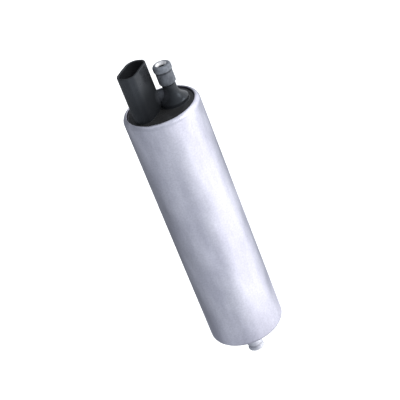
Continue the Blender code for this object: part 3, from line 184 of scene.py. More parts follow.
# %% Helper for rounded outlines
def rounded(corners, count):
    """A closed outline from (x, y, radius) corners, with points along its straight runs too."""
    arcs = []
    for i, (x, y, radius) in enumerate(corners):
        here = Vector((x, y))
        before = (Vector(corners[i - 1][:2]) - here).normalized()
        after = (Vector(corners[(i + 1) % len(corners)][:2]) - here).normalized()
        half = before.angle(after) / 2
        middle = (before + after).normalized() * (radius / sin(half)) + here
        first = here + before * (radius * cos(half) / sin(half))
        last = here + after * (radius * cos(half) / sin(half))
        start = first - middle
        sweep = start.angle_signed(last - middle)
        turns = [atan2(start.y, start.x) - sweep * k / count for k in range(count + 1)]
        arcs.append([(middle.x + radius * cos(a), middle.y + radius * sin(a)) for a in turns])
    points = []
    for i, corner in enumerate(arcs):
        leave, meet = Vector(corner[-1]), Vector(arcs[(i + 1) % len(arcs)][0])
        points += corner + [tuple(leave.lerp(meet, k / count)) for k in range(1, count)]
    return points


# %% [markdown]
# The connector shroud is an oval tube with one cut corner, which keys the plug, and its
# moulded walls swell outward a little. It could be cut from a block, but an outline is easier
# to hold against the photo. Five corners give the outline. Then each point is pushed outward,
# most in the middle of a side or an end and not at all at the corners. The same outline, drawn
# smaller, gives the inside of the wall.

# %% Shroud outline
SHROUD_XY = (-7.2, -2.8)
SHROUD_TURN = radians(54.0)
SHROUD_HALF_LENGTH = 9.4
SHROUD_HALF_WIDTH = 5.4
FAR_ROUND_OUTSIDE = 4.9
FAR_ROUND_POST_SIDE = 3.9
NEAR_ROUND = 4.4
CUT_LENGTH = 1.8
CUT_WIDTH = 2.7
CUT_SIDE_ROUND = 1.8
CUT_END_ROUND = 2.0
END_SLANT = 0.1
CUT_FOLLOW = 0.3
SIDE_BULGE = 0.6
NEAR_END_BULGE = 0.9
FAR_END_BULGE = 0.3
CORNER_STEPS = 10


def shroud_ring(inset):
    """The oval with its cut corner, smaller all round by the inset, in the pump's plan."""
    length = SHROUD_HALF_LENGTH - inset
    width = SHROUD_HALF_WIDTH - inset
    follow = inset * CUT_FOLLOW
    corners = [
        (length, -width, FAR_ROUND_OUTSIDE - inset),
        (length, width, FAR_ROUND_POST_SIDE - inset),
        (-length + CUT_LENGTH + END_SLANT - follow, width, CUT_SIDE_ROUND),
        (-length + END_SLANT, width - CUT_WIDTH + follow, CUT_END_ROUND),
        (-length, -width, NEAR_ROUND - inset)]
    c, s = cos(SHROUD_TURN), sin(SHROUD_TURN)
    outline = []
    for x, y in rounded(corners, CORNER_STEPS):
        u, v = x / SHROUD_HALF_LENGTH, y / SHROUD_HALF_WIDTH
        x += (NEAR_END_BULGE if u < 0 else FAR_END_BULGE) * u * (1 - v * v)
        y += SIDE_BULGE * v * (1 - u * u)
        outline.append((SHROUD_XY[0] + x * c + y * s, SHROUD_XY[1] + x * s - y * c))
    return outline


print("the shroud's outline has", len(shroud_ring(0.0)), "points")

# %% [markdown]
# The shroud stands on the cap as a stack of outlines, from a small fillet at the foot up the
# outer wall. One extrusion would be shorter, but long faces beside a tiny rounding bend the
# shading of the whole wall. Extra rings close to each rounding hold it straight. So the stack
# is gathered first, as a list of outlines with their heights.

# %% Shroud wall
CAP_DROP = 0.8
CAP_FACE_Z = RIM_Z - CAP_DROP
cap_high = box_mm("end_cap")[1]
SHROUD_TOP_Z = cap_high[2]
RIM_ROUND = 0.35
RIM_HOLD = 0.15
FOOT_FILLET = 0.15
FOOT_HOLD = 0.1
SINK = 0.05
WALL_RINGS = 6
QUARTER_TURN = [pi / 2 * k / 6 for k in range(7)]

wall_foot = CAP_FACE_Z + FOOT_FILLET + FOOT_HOLD
wall_top = SHROUD_TOP_Z - RIM_ROUND - RIM_HOLD
rings = []
for a in QUARTER_TURN:
    flared = shroud_ring(-FOOT_FILLET * (1 - sin(a)))
    rings.append((flared, CAP_FACE_Z - SINK + FOOT_FILLET * (1 - cos(a))))
for k in range(WALL_RINGS + 1):
    rings.append((shroud_ring(0.0), wall_foot + (wall_top - wall_foot) * k / WALL_RINGS))
print("shroud wall from", round(wall_foot, 2), "to", round(wall_top, 2))

# %% [markdown]
# At the top the stack turns over a rounded rim and goes down inside to the floor of the socket,
# which is a little narrower there. The socket could be cut out by a boolean, but in the same
# stack it needs no cut and leaves no ragged edge. All outlines have the same count of points,
# so plain quads join each pair.

# %% Shroud rim and socket
SHROUD_WALL = 1.3
SOCKET_DEPTH = 24.0
SOCKET_FLOOR_Z = SHROUD_TOP_Z - SOCKET_DEPTH
SOCKET_TAPER = 0.1
SOCKET_ROUND = 0.5


def loft_into(shape, rings):
    """Join a stack of (outline, height) rings by quads and close the last one."""
    made = []
    for outline, z in rings:
        made.append([shape.verts.new((x * MM, y * MM, z * MM)) for x, y in outline])
    for lower, upper in zip(made, made[1:]):
        for k in range(len(lower)):
            n = (k + 1) % len(lower)
            shape.faces.new((lower[k], lower[n], upper[n], upper[k]))
    shape.faces.new(made[-1])


for a in QUARTER_TURN:
    rings.append((shroud_ring(RIM_ROUND * (1 - cos(a))), SHROUD_TOP_Z - RIM_ROUND * (1 - sin(a))))
for a in QUARTER_TURN:
    inside = shroud_ring(SHROUD_WALL - RIM_ROUND * (1 - sin(a)))
    rings.append((inside, SHROUD_TOP_Z - RIM_ROUND * (1 - cos(a))))
rings.append((shroud_ring(SHROUD_WALL), wall_top))
rings.append((shroud_ring(SHROUD_WALL + SOCKET_TAPER / 2), (SHROUD_TOP_Z + SOCKET_FLOOR_Z) / 2))
rings.append((shroud_ring(SHROUD_WALL + SOCKET_TAPER), SOCKET_FLOOR_Z + SOCKET_ROUND))
rings.append((shroud_ring(SHROUD_WALL + SOCKET_TAPER + SOCKET_ROUND), SOCKET_FLOOR_Z))
shape = bmesh.new()
loft_into(shape, rings)
print("the shroud is a stack of", len(rings), "rings")

# %% [markdown]
# Under the shroud the cap is a thick plate with a skirt, and a groove in its side holds the
# seal. Only the flat face and a thin dark gap at the can's lip show. A plain disc would do for
# the face, but not for the gap. So the plate is turned from its real section, with a rounded
# edge that leaves the gap open and then runs on under the rolled rim.

# %% Cap plate
CAP_R = cap_high[0]
CAP_FACE_R = 18.5
EDGE_ROUND = 0.5
EDGE_EASE = 0.4
CAP_PLATE_H = 8.2
CAP_SKIRT_H = 9.0
SKIRT_WALL = 2.5
GROOVE_R = 18.5
GROOVE_H = 2.4
CAP_GROOVE_RISE = 2.0
PLATE_STEPS = 144

plate_foot = CAP_FACE_Z - CAP_PLATE_H
skirt_foot = plate_foot - CAP_SKIRT_H
groove_foot = plate_foot + CAP_GROOVE_RISE
section = [(0.0, CAP_FACE_Z), (CAP_FACE_R - EDGE_ROUND - EDGE_EASE, CAP_FACE_Z)]
section += arc((CAP_FACE_R - EDGE_ROUND, CAP_FACE_Z - SINK - EDGE_ROUND), EDGE_ROUND, 90, 0, 6)
section += arc(rim_centre, CAP_R - rim_centre[0], 88, 0, 6)
section += [(CAP_R, groove_foot + GROOVE_H), (GROOVE_R, groove_foot + GROOVE_H)]
section += [(GROOVE_R, groove_foot), (CAP_R, groove_foot), (CAP_R, skirt_foot)]
section += [(CAP_R - SKIRT_WALL, skirt_foot), (CAP_R - SKIRT_WALL, plate_foot), (0.0, plate_foot)]
turn_into(shape, section, PLATE_STEPS)
print("cap plate and skirt from", round(skirt_foot, 2), "to", round(CAP_FACE_Z, 2))

# %% [markdown]
# The outlet post carries the metal nipple. Its upper end is a thin spigot inside the nipple,
# and a short neck shows below it. The post could be left solid, but the check valve sits in it,
# so it is bored. Its section begins at the top of the bore and runs down the outside.

# %% Spigot and neck of the outlet post
nipple_low, nipple_high = box_mm("outlet_nipple")
POST_X = (nipple_low[0] + nipple_high[0]) / 2
SLEEVE_LIFT = 0.9
SLEEVE_FOOT_Z = nipple_low[2] + SLEEVE_LIFT
SPIGOT_RISE = 17.0
SPIGOT_TOP_Z = RIM_Z + SPIGOT_RISE
SPIGOT_R = 3.2
VALVE_BORE_R = 2.4
NECK_R = 3.8
NECK_CHAMFER = 0.1
NECK_GAP = 0.1

neck_top = SLEEVE_FOOT_Z - NECK_GAP
section = [(VALVE_BORE_R, SPIGOT_TOP_Z), (SPIGOT_R, SPIGOT_TOP_Z), (SPIGOT_R, neck_top)]
section += [(NECK_R - NECK_CHAMFER, neck_top), (NECK_R, neck_top - NECK_CHAMFER)]
print("post at", round(POST_X, 2), "with its spigot up to", round(SPIGOT_TOP_Z, 2))

# %% [markdown]
# Toward the plate the post spreads in a wide flare. A cone would look too stiff for it. Here
# the radius grows with a power of the way down, so the flare leaves the neck straight and
# spreads toward its foot, as a moulded one does. A small rounding and a fillet end it on the
# plate, and the bore is turned as a surface of its own.

# %% Flare and bore of the outlet post
FLARE_R = 8.0
FLARE_EDGE = 0.4
FLARE_TOP_RISE = 7.4
FLARE_FOOT_RISE = 1.5
FLARE_CURVE = 2.3
FLARE_BANDS = 12
FLARE_ROUND = 0.6
FLARE_ROUND_RISE = 0.8
FLARE_FILLET = 0.15
FLARE_FILLET_OUT = 0.1
VALVE_BORE_DROP = 6.0
POST_STEPS = 96
BORE_STEPS = 48

for k in range(FLARE_BANDS + 1):
    t = k / FLARE_BANDS
    grown = (FLARE_R - FLARE_EDGE - NECK_R) * t ** FLARE_CURVE
    section.append((NECK_R + grown, RIM_Z + FLARE_TOP_RISE - (FLARE_TOP_RISE - FLARE_FOOT_RISE) * t))
section += arc((FLARE_R - FLARE_ROUND, RIM_Z + FLARE_ROUND_RISE), FLARE_ROUND, 60, 0, 5)
section += [(FLARE_R + FLARE_FILLET_OUT, CAP_FACE_Z + FLARE_FILLET)]
section += [(FLARE_R + FLARE_EDGE, CAP_FACE_Z - SINK)]
turn_into(shape, section, POST_STEPS, (POST_X, 0.0))
bore = [(VALVE_BORE_R, RIM_Z - VALVE_BORE_DROP), (VALVE_BORE_R, SPIGOT_TOP_Z)]
turn_into(shape, bore, BORE_STEPS, (POST_X, 0.0))
print("flare from radius", NECK_R, "to", FLARE_R)

# %% [markdown]
# A thin web joins the post to the shroud and stiffens both. It is a plate with rounded edges,
# so a box with bevelled edges is the simplest way to it. It reaches into the cap plate and into
# both neighbours, so that no seam opens. The cap is then complete, and it becomes one piece,
# because it is one moulding.

# %% Web and end cap
WEB_LENGTH = 6.2
WEB_THICK = 2.2
WEB_X = 2.4
WEB_Y = 0.5
WEB_RISE = 8.3
WEB_SINK = 1.0
WEB_ROUND = 0.35

web_top = RIM_Z + WEB_RISE
web_foot = CAP_FACE_Z - WEB_SINK
web = bmesh.ops.create_cube(shape, size=1.0)["verts"]
web_size = Matrix.Diagonal((WEB_LENGTH * MM, WEB_THICK * MM, (web_top - web_foot) * MM, 1.0))
web_place = Matrix.Translation(Vector((WEB_X, WEB_Y, (web_top + web_foot) / 2)) * MM)
bmesh.ops.transform(shape, matrix=web_place @ web_size, verts=web)
web_edges = {e for v in web for e in v.link_edges}
bmesh.ops.bevel(
    shape, geom=list(web_edges), offset=WEB_ROUND * MM, segments=3, affect="EDGES", profile=0.5)
finish_piece("moulded_cap", shape, "end_cap", "black_moulding")

# %% [markdown]
# The outlet nipple is a turned steel sleeve over the post. At its top a bead keeps the hose on,
# and a wide mouth leads into its bore. Rings set on a cylinder would meet it in hard corners.
# In one section each change of width gets its own small arc, and a point held close to an arc
# keeps the straight part beside it flat.

# %% Bead and mouth of the outlet nipple
NIPPLE_TOP_Z = nipple_high[2]
BORE_R = 2.0
MOUTH_R = 3.0
MOUTH_DEPTH = 2.3
MOUTH_ROUND = 0.12
BEAD_R = (nipple_high[0] - nipple_low[0]) / 2
BEAD_ROUND = 1.4
BEAD_FOOT_Z = RIM_Z + 19.2
BEAD_FOOT_ROUND = 0.4
HOLD = 0.1

mouth_round_centre = (MOUTH_R + MOUTH_ROUND, NIPPLE_TOP_Z - MOUTH_ROUND)
bead_round_centre = (BEAD_R - BEAD_ROUND, NIPPLE_TOP_Z - BEAD_ROUND)
section = [(BORE_R, NIPPLE_TOP_Z - MOUTH_DEPTH)]
section += arc(mouth_round_centre, MOUTH_ROUND, 140, 90, 4)
section += arc(bead_round_centre, BEAD_ROUND, 90, 0, 10)
section += [(BEAD_R, bead_round_centre[1] - HOLD), (BEAD_R, BEAD_FOOT_Z)]
section += arc((BEAD_R - BEAD_FOOT_ROUND, BEAD_FOOT_Z - HOLD), BEAD_FOOT_ROUND, 0, -80, 5)
print("bead from", round(BEAD_FOOT_Z, 2), "to", round(NIPPLE_TOP_Z, 2))

# %% [markdown]
# Under the bead the hose grips a straight sleeve, which ends in a rounded foot over the post's
# neck. The inside of the sleeve could be left out, since nobody sees it, but then the piece
# would be a shell without thickness. The section goes on down the outside and back up inside,
# past the spigot, and closes where it began.

# %% Sleeve of the outlet nipple
NIPPLE_R = 4.65
GRIP_TOP_Z = RIM_Z + 18.45
GRIP_MIDDLE_Z = RIM_Z + 15.0
GRIP_FILLET = 0.25
SLEEVE_ROUND = 1.1
SLEEVE_ROUND_RISE = 1.3
SLEEVE_HOLD = 0.15
SLEEVE_GAP = 0.1

sleeve_round_centre = (NIPPLE_R - SLEEVE_ROUND, SLEEVE_FOOT_Z + SLEEVE_ROUND_RISE)
section += arc((NIPPLE_R + GRIP_FILLET, GRIP_TOP_Z), GRIP_FILLET, 90, 180, 3)
section += [(NIPPLE_R, GRIP_TOP_Z - HOLD), (NIPPLE_R, GRIP_MIDDLE_Z)]
section += [(NIPPLE_R, sleeve_round_centre[1] + SLEEVE_HOLD)]
section += arc(sleeve_round_centre, SLEEVE_ROUND, 0, -70, 7)
section += [(SPIGOT_R + SLEEVE_GAP, SLEEVE_FOOT_Z + SLEEVE_GAP)]
section += [(SPIGOT_R + SLEEVE_GAP, SPIGOT_TOP_Z + SINK), (BORE_R, SPIGOT_TOP_Z + SINK)]
shape = bmesh.new()
turn_into(shape, section, POST_STEPS, (POST_X, 0.0), closed=True)
finish_piece("outlet_sleeve", shape, "outlet_nipple", "plated_steel")

# %% [markdown]
# The inlet cover closes the foot of the can and is cast in one with its hose nipple. Only its
# face and the nipple show, and they alone would be enough for the picture. The groove for the
# seal is kept all the same, so that the piece is the same thing as its solid. The section
# begins inside at the top and runs down the outside to the face.

# %% Inlet cover
cover_low, cover_high = box_mm("inlet_cover")
COVER_TOP_Z = cover_high[2]
COVER_FACE_PROUD = 0.3
COVER_FACE_Z = FOOT_Z - COVER_FACE_PROUD
COVER_FACE_R = 17.1
COVER_STEP_H = 1.5
COVER_ROUND = 0.4
COVER_GROOVE_DROP = 11.35
CHAMBER_R = 12.0

groove_foot = COVER_TOP_Z - COVER_GROOVE_DROP
section = [(CHAMBER_R, COVER_TOP_Z), (CAP_R, COVER_TOP_Z), (CAP_R, groove_foot + GROOVE_H)]
section += [(GROOVE_R, groove_foot + GROOVE_H), (GROOVE_R, groove_foot), (CAP_R, groove_foot)]
section += arc(foot_centre, CAP_R - foot_centre[0], 0, -88, 5)
section += [(COVER_FACE_R, FOOT_Z + COVER_STEP_H)]
section += arc((COVER_FACE_R - COVER_ROUND, COVER_FACE_Z + COVER_ROUND), COVER_ROUND, 0, -90, 4)
print("cover from", round(COVER_FACE_Z, 2), "to", round(COVER_TOP_Z, 2))

# %% [markdown]
# The inlet nipple leaves the cover's face in a wide fillet. Two ridges keep the hose on. A
# screw thread would be the wrong tool for them, because each ridge is a ring of its own, an
# arc in the section with a groove after it. Past the tip the section goes up the bore, widens
# into the chamber that holds the strainer, and closes where it began.

# %% Inlet nipple and chamber
INLET_TIP_Z = cover_low[2]
INLET_R = 4.0
INLET_BORE_R = 2.4
INLET_FILLET = 2.6
RIDGE_R = 4.7
RIDGE_ROUND = 0.45
RIDGE_RISE = 1.2
RIDGE_PITCH = 3.2
RIDGE_BACK = 1.6
GROOVE_BOTTOM_R = 3.6
GROOVE_TOP_DROP = 0.75
GROOVE_FOOT_RISE = 1.35
TIP_ROUND = 1.1
TIP_LIP = 0.3
CHAMBER_DEPTH = 10.0
LEDGE_R = 10.6
LEDGE_DROP = 2.0
FUNNEL_DROP = 5.0

ridge_low = INLET_TIP_Z + RIDGE_RISE
ridge_high = ridge_low + RIDGE_PITCH
chamber_foot = COVER_TOP_Z - CHAMBER_DEPTH
section += arc((INLET_R + INLET_FILLET, COVER_FACE_Z - INLET_FILLET), INLET_FILLET, 90, 180, 8)
section += [(INLET_R, ridge_high + RIDGE_BACK)]
section += arc((RIDGE_R - RIDGE_ROUND, ridge_high - HOLD), RIDGE_ROUND, 50, -70, 7)
section += [(GROOVE_BOTTOM_R, ridge_high - GROOVE_TOP_DROP)]
section += [(GROOVE_BOTTOM_R, ridge_low + GROOVE_FOOT_RISE)]
section += arc((RIDGE_R - RIDGE_ROUND, ridge_low + HOLD), RIDGE_ROUND, 50, 0, 4)
section += arc((RIDGE_R - TIP_ROUND, INLET_TIP_Z + TIP_ROUND), TIP_ROUND, 0, -80, 6)
section += arc((INLET_BORE_R + TIP_LIP, INLET_TIP_Z + TIP_LIP), TIP_LIP, -90, -180, 3)
section += [(INLET_BORE_R, chamber_foot - FUNNEL_DROP), (LEDGE_R, chamber_foot - LEDGE_DROP)]
section += [(LEDGE_R, chamber_foot), (CHAMBER_R, chamber_foot)]
shape = bmesh.new()
turn_into(shape, section, PLATE_STEPS, closed=True)
finish_piece("cast_inlet_cover", shape, "inlet_cover", "cast_cover")

# %% [markdown]
# A finish could be an image wrapped round each piece, but an image has to be unwrapped and
# goes soft from close by. Here each finish is a small tree of nodes, which stays sharp at any
# distance. The first helpers start a material and put a number, a colour or another node's
# output on a socket.

# %% Helpers that start a material
def start_material(name, color, metallic, roughness):
    """A Principled material, its node tree and its shader."""
    made = bpy.data.materials.new(name)
    made.use_nodes = True
    tree = made.node_tree
    shader = tree.nodes["Principled BSDF"]
    shader.inputs["Base Color"].default_value = (*color, 1.0)
    shader.inputs["Metallic"].default_value = metallic
    shader.inputs["Roughness"].default_value = roughness
    return made, tree, shader


def feed(tree, value, socket):
    """Put a node's output, a colour or a number on a socket."""
    if isinstance(value, bpy.types.NodeSocket):
        tree.links.new(value, socket)
    elif isinstance(value, tuple):
        socket.default_value = (*value, 1.0)
    else:
        socket.default_value = value


# %% [markdown]
# Noise gives the uneven look of real surfaces. It is laid over the object's own coordinates,
# so that grain and streaks keep their real size and stay on the surface from every side. A
# stretch below one draws the pattern out along that axis, and above one squeezes it.

# %% Helpers for noise
def position(tree):
    """The point being shaded, in the object's own coordinates and in metres."""
    return tree.nodes.new("ShaderNodeTexCoord").outputs["Object"]


def noise(tree, scale, detail=4.0, stretch=(1.0, 1.0, 1.0), roughness=0.5):
    """Noise in object coordinates; scale is in features per metre."""
    shift = tree.nodes.new("ShaderNodeMapping")
    shift.inputs["Scale"].default_value = stretch
    made = tree.nodes.new("ShaderNodeTexNoise")
    made.inputs["Scale"].default_value = scale
    made.inputs["Detail"].default_value = detail
    made.inputs["Roughness"].default_value = roughness
    tree.links.new(position(tree), shift.inputs["Vector"])
    tree.links.new(shift.outputs["Vector"], made.inputs["Vector"])
    return made.outputs["Fac"]


# %% [markdown]
# A noise mostly stays between 0.3 and 0.7, so a ramp has to spread that part over the range
# that is wanted. A colour ramp could do it, but this node works on plain numbers, so it can map
# a length or an angle just as well. The other helper does one step of arithmetic.

# %% Helpers for values
def spread(tree, value, low, high, start=0.3, end=0.7, soft=False):
    """Map a value from start to end onto low to high, and hold it at both ends."""
    made = tree.nodes.new("ShaderNodeMapRange")
    made.interpolation_type = "SMOOTHSTEP" if soft else "LINEAR"
    made.inputs["From Min"].default_value = start
    made.inputs["From Max"].default_value = end
    made.inputs["To Min"].default_value = low
    made.inputs["To Max"].default_value = high
    tree.links.new(value, made.inputs["Value"])
    return made.outputs["Result"]


def maths(tree, operation, first, second=0.0):
    """One step of arithmetic on values or numbers."""
    made = tree.nodes.new("ShaderNodeMath")
    made.operation = operation
    feed(tree, first, made.inputs[0])
    feed(tree, second, made.inputs[1])
    return made.outputs["Value"]


# %% [markdown]
# Two helpers work on colours. One mixes two colours by a value, and either of them may already
# come from another mix, so layers of wear can be stacked. The other makes a colour lighter or
# darker by a factor, which is the simplest way to let a noise break it up.

# %% Helpers for colour
def tint(tree, value, dark, light):
    """Mix two colours by a value."""
    made = tree.nodes.new("ShaderNodeMix")
    made.data_type = "RGBA"
    feed(tree, dark, made.inputs["A"])
    feed(tree, light, made.inputs["B"])
    tree.links.new(value, made.inputs["Factor"])
    return made.outputs["Result"]


def scaled(tree, color, factor):
    """Make a colour lighter or darker by a factor."""
    made = tree.nodes.new("ShaderNodeVectorMath")
    made.operation = "SCALE"
    tree.links.new(color, made.inputs[0])
    tree.links.new(factor, made.inputs["Scale"])
    return made.outputs["Vector"]


# %% [markdown]
# Fine relief is cheapest as bump, because it is far below the size of a face. Several bumps
# are chained: each takes the normal of the one before it, and the last gives its normal to the
# shader.

# %% Helper for fine relief
def bump(tree, shader, heights):
    """Chain (height, strength, distance in metres) bumps onto the shader's normal."""
    normal = None
    for height, strength, distance in heights:
        made = tree.nodes.new("ShaderNodeBump")
        made.inputs["Strength"].default_value = strength
        made.inputs["Distance"].default_value = distance
        tree.links.new(height, made.inputs["Height"])
        if normal is not None:
            tree.links.new(normal, made.inputs["Normal"])
        normal = made.outputs["Normal"]
    tree.links.new(normal, shader.inputs["Normal"])


# %% [markdown]
# Finishes change with the place: a foot is dull, one corner gets painted shade, a bead is lighter. All of
# this could be painted by hand, but then it would be lost with each change of the mesh. These helpers tell
# where a point lies by its height, its distance from a spot, or its distance from an upright axis. The
# lengths given to the last three are in millimetres.

# %% Helpers that tell a place
def height_of(tree):
    """The height of the point being shaded, in metres."""
    parts = tree.nodes.new("ShaderNodeSeparateXYZ")
    tree.links.new(position(tree), parts.inputs["Vector"])
    return parts.outputs["Z"]


def by_height(tree, low, high, start, end, soft=False):
    """Map the height from start to end onto low to high."""
    return spread(tree, height_of(tree), low, high, start * MM, end * MM, soft)


def by_distance(tree, spot, low, high, start, end, soft=False):
    """Map the distance from a spot, from start to end, onto low to high."""
    away = tree.nodes.new("ShaderNodeVectorMath")
    away.operation = "DISTANCE"
    away.inputs[1].default_value = Vector(spot) * MM
    tree.links.new(position(tree), away.inputs[0])
    return spread(tree, away.outputs["Value"], low, high, start * MM, end * MM, soft)


def by_radius(tree, axis_x, low, high, start, end):
    """Map the distance from the upright axis at axis_x, from start to end, onto low to high."""
    across = tree.nodes.new("ShaderNodeVectorMath")
    across.operation = "MULTIPLY_ADD"
    across.inputs[1].default_value = (1.0, 1.0, 0.0)
    across.inputs[2].default_value = (-axis_x * MM, 0.0, 0.0)
    tree.links.new(position(tree), across.inputs[0])
    radius = tree.nodes.new("ShaderNodeVectorMath")
    radius.operation = "LENGTH"
    tree.links.new(across.outputs["Vector"], radius.inputs[0])
    return spread(tree, radius.outputs["Value"], low, high, start * MM, end * MM)


# %% [markdown]
# The can is satin metal with a cool cast, and its lustre is not even. A plain metal shader
# would give one clean streak of light. Here soft patches change roughness and tint, and a
# shallow, broad bump bends the reflection as thin drawn metal does. Streaks and a fine grain
# follow the drawing. Toward the foot the metal is duller, which the height tells.

# %% Satin can
CAN_DARK = (0.565, 0.565, 0.655)
CAN_LIGHT = (0.71, 0.71, 0.795)
DULL_FOOT_H = 32
LENGTHWISE = (1.0, 1.0, 0.4)
STREAKY = (1.0, 1.0, 0.06)

satin, tree, shader = start_material("satin_can_metal", (0.62, 0.635, 0.73), 1.0, 0.36)
patches = noise(tree, scale=75.0, stretch=LENGTHWISE, roughness=0.6)
dents = noise(tree, scale=50.0, detail=1.5, stretch=LENGTHWISE, roughness=0.4)
streaks = noise(tree, scale=420.0, detail=3.0, stretch=STREAKY)
grain = noise(tree, scale=1100.0, detail=2.0)
patchy = spread(tree, patches, low=0.28, high=0.42, start=0.35, end=0.65)
dulled = by_height(tree, low=0.3, high=0.0, start=FOOT_Z, end=FOOT_Z + DULL_FOOT_H)
feed(tree, maths(tree, "ADD", patchy, dulled), shader.inputs["Roughness"])
clouds = spread(tree, patches, low=0.0, high=1.0, start=0.35, end=0.65)
cloudy = tint(tree, clouds, CAN_DARK, CAN_LIGHT)
streaky = scaled(tree, cloudy, spread(tree, streaks, low=0.97, high=1.03))
speckled = scaled(tree, streaky, spread(tree, grain, low=0.92, high=1.06))
feed(tree, speckled, shader.inputs["Base Color"])
bump(tree, shader, [(dents, 1.0, 0.0032), (streaks, 0.2, 0.0001), (grain, 0.2, 0.00008)])
print("satin can:", len(tree.nodes), "nodes")

# %% [markdown]
# The end cap is black moulded plastic, and plain black would hide its form. Its tone depends on the place.
# Around one spot low beside the shroud, where shade falls, the colour is painted deep black as shade, and
# farther away this painted shade fades out to a lighter black. The thin web is painted paler, as light
# falling on it. The flat plate has a tone of its own, picked out by its height. Noise breaks up all of it.

# %% Black moulding, colour
SHADED_SPOT = (-3.0, -9.0, CAP_FACE_Z + 5.5)
WEB_LIGHT_SPOT = (WEB_X, -0.6, RIM_Z + 6.0)
# painted shade near the shaded spot, and the lighter black it fades to
PAINTED_SHADE_BLACK = (0.005, 0.005, 0.0055)
UNSHADED_WALL_BLACK = (0.0215, 0.0226, 0.0248)
# painted light on the web
WEB_PAINTED_LIGHT_GREY = (0.066, 0.069, 0.078)
PLATE_BLACK = (0.028, 0.028, 0.0283)
FACE_LOW = CAP_FACE_Z + 0.05
FACE_HIGH = CAP_FACE_Z + 0.15

moulding, tree, shader = start_material("black_moulded_plastic", (0.014, 0.014, 0.0143), 0.0, 0.2)
cloud = noise(tree, scale=220.0, detail=3.0)
# painted shade round the shaded spot, fading out farther away
away_from_painted_shade = by_distance(tree, SHADED_SPOT, low=0.0, high=1.0, start=4, end=19, soft=True)
walls_with_painted_shade = tint(tree, away_from_painted_shade, PAINTED_SHADE_BLACK, UNSHADED_WALL_BLACK)
# painted light on the web, fading out within a few millimetres
painted_web_light = by_distance(tree, WEB_LIGHT_SPOT, low=1.0, high=0.0, start=1.0, end=5.5)
lightened = tint(tree, painted_web_light, walls_with_painted_shade, WEB_PAINTED_LIGHT_GREY)
on_plate = by_height(tree, low=1.0, high=0.0, start=FACE_LOW, end=FACE_HIGH)
whole = tint(tree, on_plate, lightened, PLATE_BLACK)
uneven = scaled(tree, whole, spread(tree, cloud, low=0.88, high=1.12))
feed(tree, uneven, shader.inputs["Base Color"])
print("black moulding, colour only:", len(tree.nodes), "nodes")

# %% [markdown]
# The same spot steers the gloss. The moulding is fairly smooth with a faint cool sheen, and
# dust makes it matt near the spot. One roughness for all would leave that corner as shiny as
# the rim. The plate is left out, because it is dark only where it mirrors a dark part of the
# sky, and matt it would turn grey. The sheen comes from a bluish specular tint, and a low index
# of refraction keeps it faint.

# %% Black moulding, gloss and relief
pores = noise(tree, scale=3500.0, detail=2.0)
dust = by_distance(tree, SHADED_SPOT, low=0.6, high=0.0, start=6, end=19, soft=True)
off_plate = by_height(tree, low=0.0, high=1.0, start=FACE_LOW, end=FACE_HIGH)
dusty = maths(tree, "MULTIPLY", dust, off_plate)
rough = maths(tree, "ADD", spread(tree, cloud, low=0.12, high=0.2), dusty)
feed(tree, rough, shader.inputs["Roughness"])
shader.inputs["Specular Tint"].default_value = (0.76, 0.87, 1.0, 1.0)
shader.inputs["IOR"].default_value = 1.39
bump(tree, shader, [(cloud, 0.2, 0.0003), (pores, 0.2, 0.00004)])
print("black moulding with gloss and relief:", len(tree.nodes), "nodes")

# %% [markdown]
# The nipple is plated steel gone dull. Its turning marks come from a noise that is squeezed along the axis
# into fine rings. A single tone would lose the bead against the grip. So the bead is made lighter, and a line
# of painted shade lies under it. Inside the mouth the turned face is light bare metal with a painted glint,
# and deeper in, painted shade makes the bore dark.

# %% Plated nipple
DULL_DARK = (0.12, 0.13, 0.147)
DULL_LIGHT = (0.235, 0.251, 0.28)
# painted shade deep in the bore; the mouth's bright colour is bare metal and a painted glint
BORE_PAINTED_SHADE = (0.02, 0.02, 0.022)
MOUTH_METAL_AND_GLINT = (0.88, 0.88, 0.89)
TURNED = (0.15, 0.15, 4.0)

plated, tree, shader = start_material("plated_sleeve", (0.4, 0.41, 0.43), 0.8, 0.4)
turning_marks = noise(tree, scale=900.0, detail=2.0, stretch=TURNED)
stain = noise(tree, scale=380.0, stretch=(1.0, 1.0, 0.6), roughness=0.6)
matt = spread(tree, stain, low=0.6, high=0.74, start=0.35, end=0.65)
feed(tree, matt, shader.inputs["Roughness"])
stained = spread(tree, stain, low=0.0, high=1.0, start=0.35, end=0.65)
dull = tint(tree, stained, DULL_DARK, DULL_LIGHT)
lightened = by_height(tree, low=1.0, high=3.2, start=BEAD_FOOT_Z - 0.6, end=BEAD_FOOT_Z)
# a line of painted shade under the bead
painted_shade_under_bead = by_height(tree, low=1.0, high=0.45, start=BEAD_FOOT_Z - 2.0, end=BEAD_FOOT_Z - 0.8, soft=True)
toned_with_painted_shade = scaled(tree, scaled(tree, dull, lightened), painted_shade_under_bead)
# painted glint in the mouth, painted shade deeper in the bore
shallow = by_height(tree, low=0.0, high=1.0, start=NIPPLE_TOP_Z - 1.9, end=NIPPLE_TOP_Z - 1.4)
mouth = tint(tree, shallow, BORE_PAINTED_SHADE, MOUTH_METAL_AND_GLINT)
in_mouth = by_radius(tree, POST_X, low=1.0, high=0.0, start=MOUTH_R + 0.05, end=MOUTH_R + 0.15)
feed(tree, tint(tree, in_mouth, toned_with_painted_shade, mouth), shader.inputs["Base Color"])
bump(tree, shader, [(stain, 0.4, 0.0004), (turning_marks, 0.2, 0.0001)])
print("plated nipple:", len(tree.nodes), "nodes")

# %% [markdown]
# The cast cover is lighter and has a soft grain. Its nipple is thin, so a mirror finish would break up into
# specks in the picture, and a dull one keeps its ridges readable. The groove between the ridges is painted
# darker as shade, which is told by the height above and below the groove's middle.

# %% Cast cover
CAST_DARK = (0.6, 0.61, 0.66)
CAST_LIGHT = (0.72, 0.73, 0.79)
GROOVE_MIDDLE_Z = (ridge_low + GROOVE_FOOT_RISE + ridge_high - GROOVE_TOP_DROP) / 2

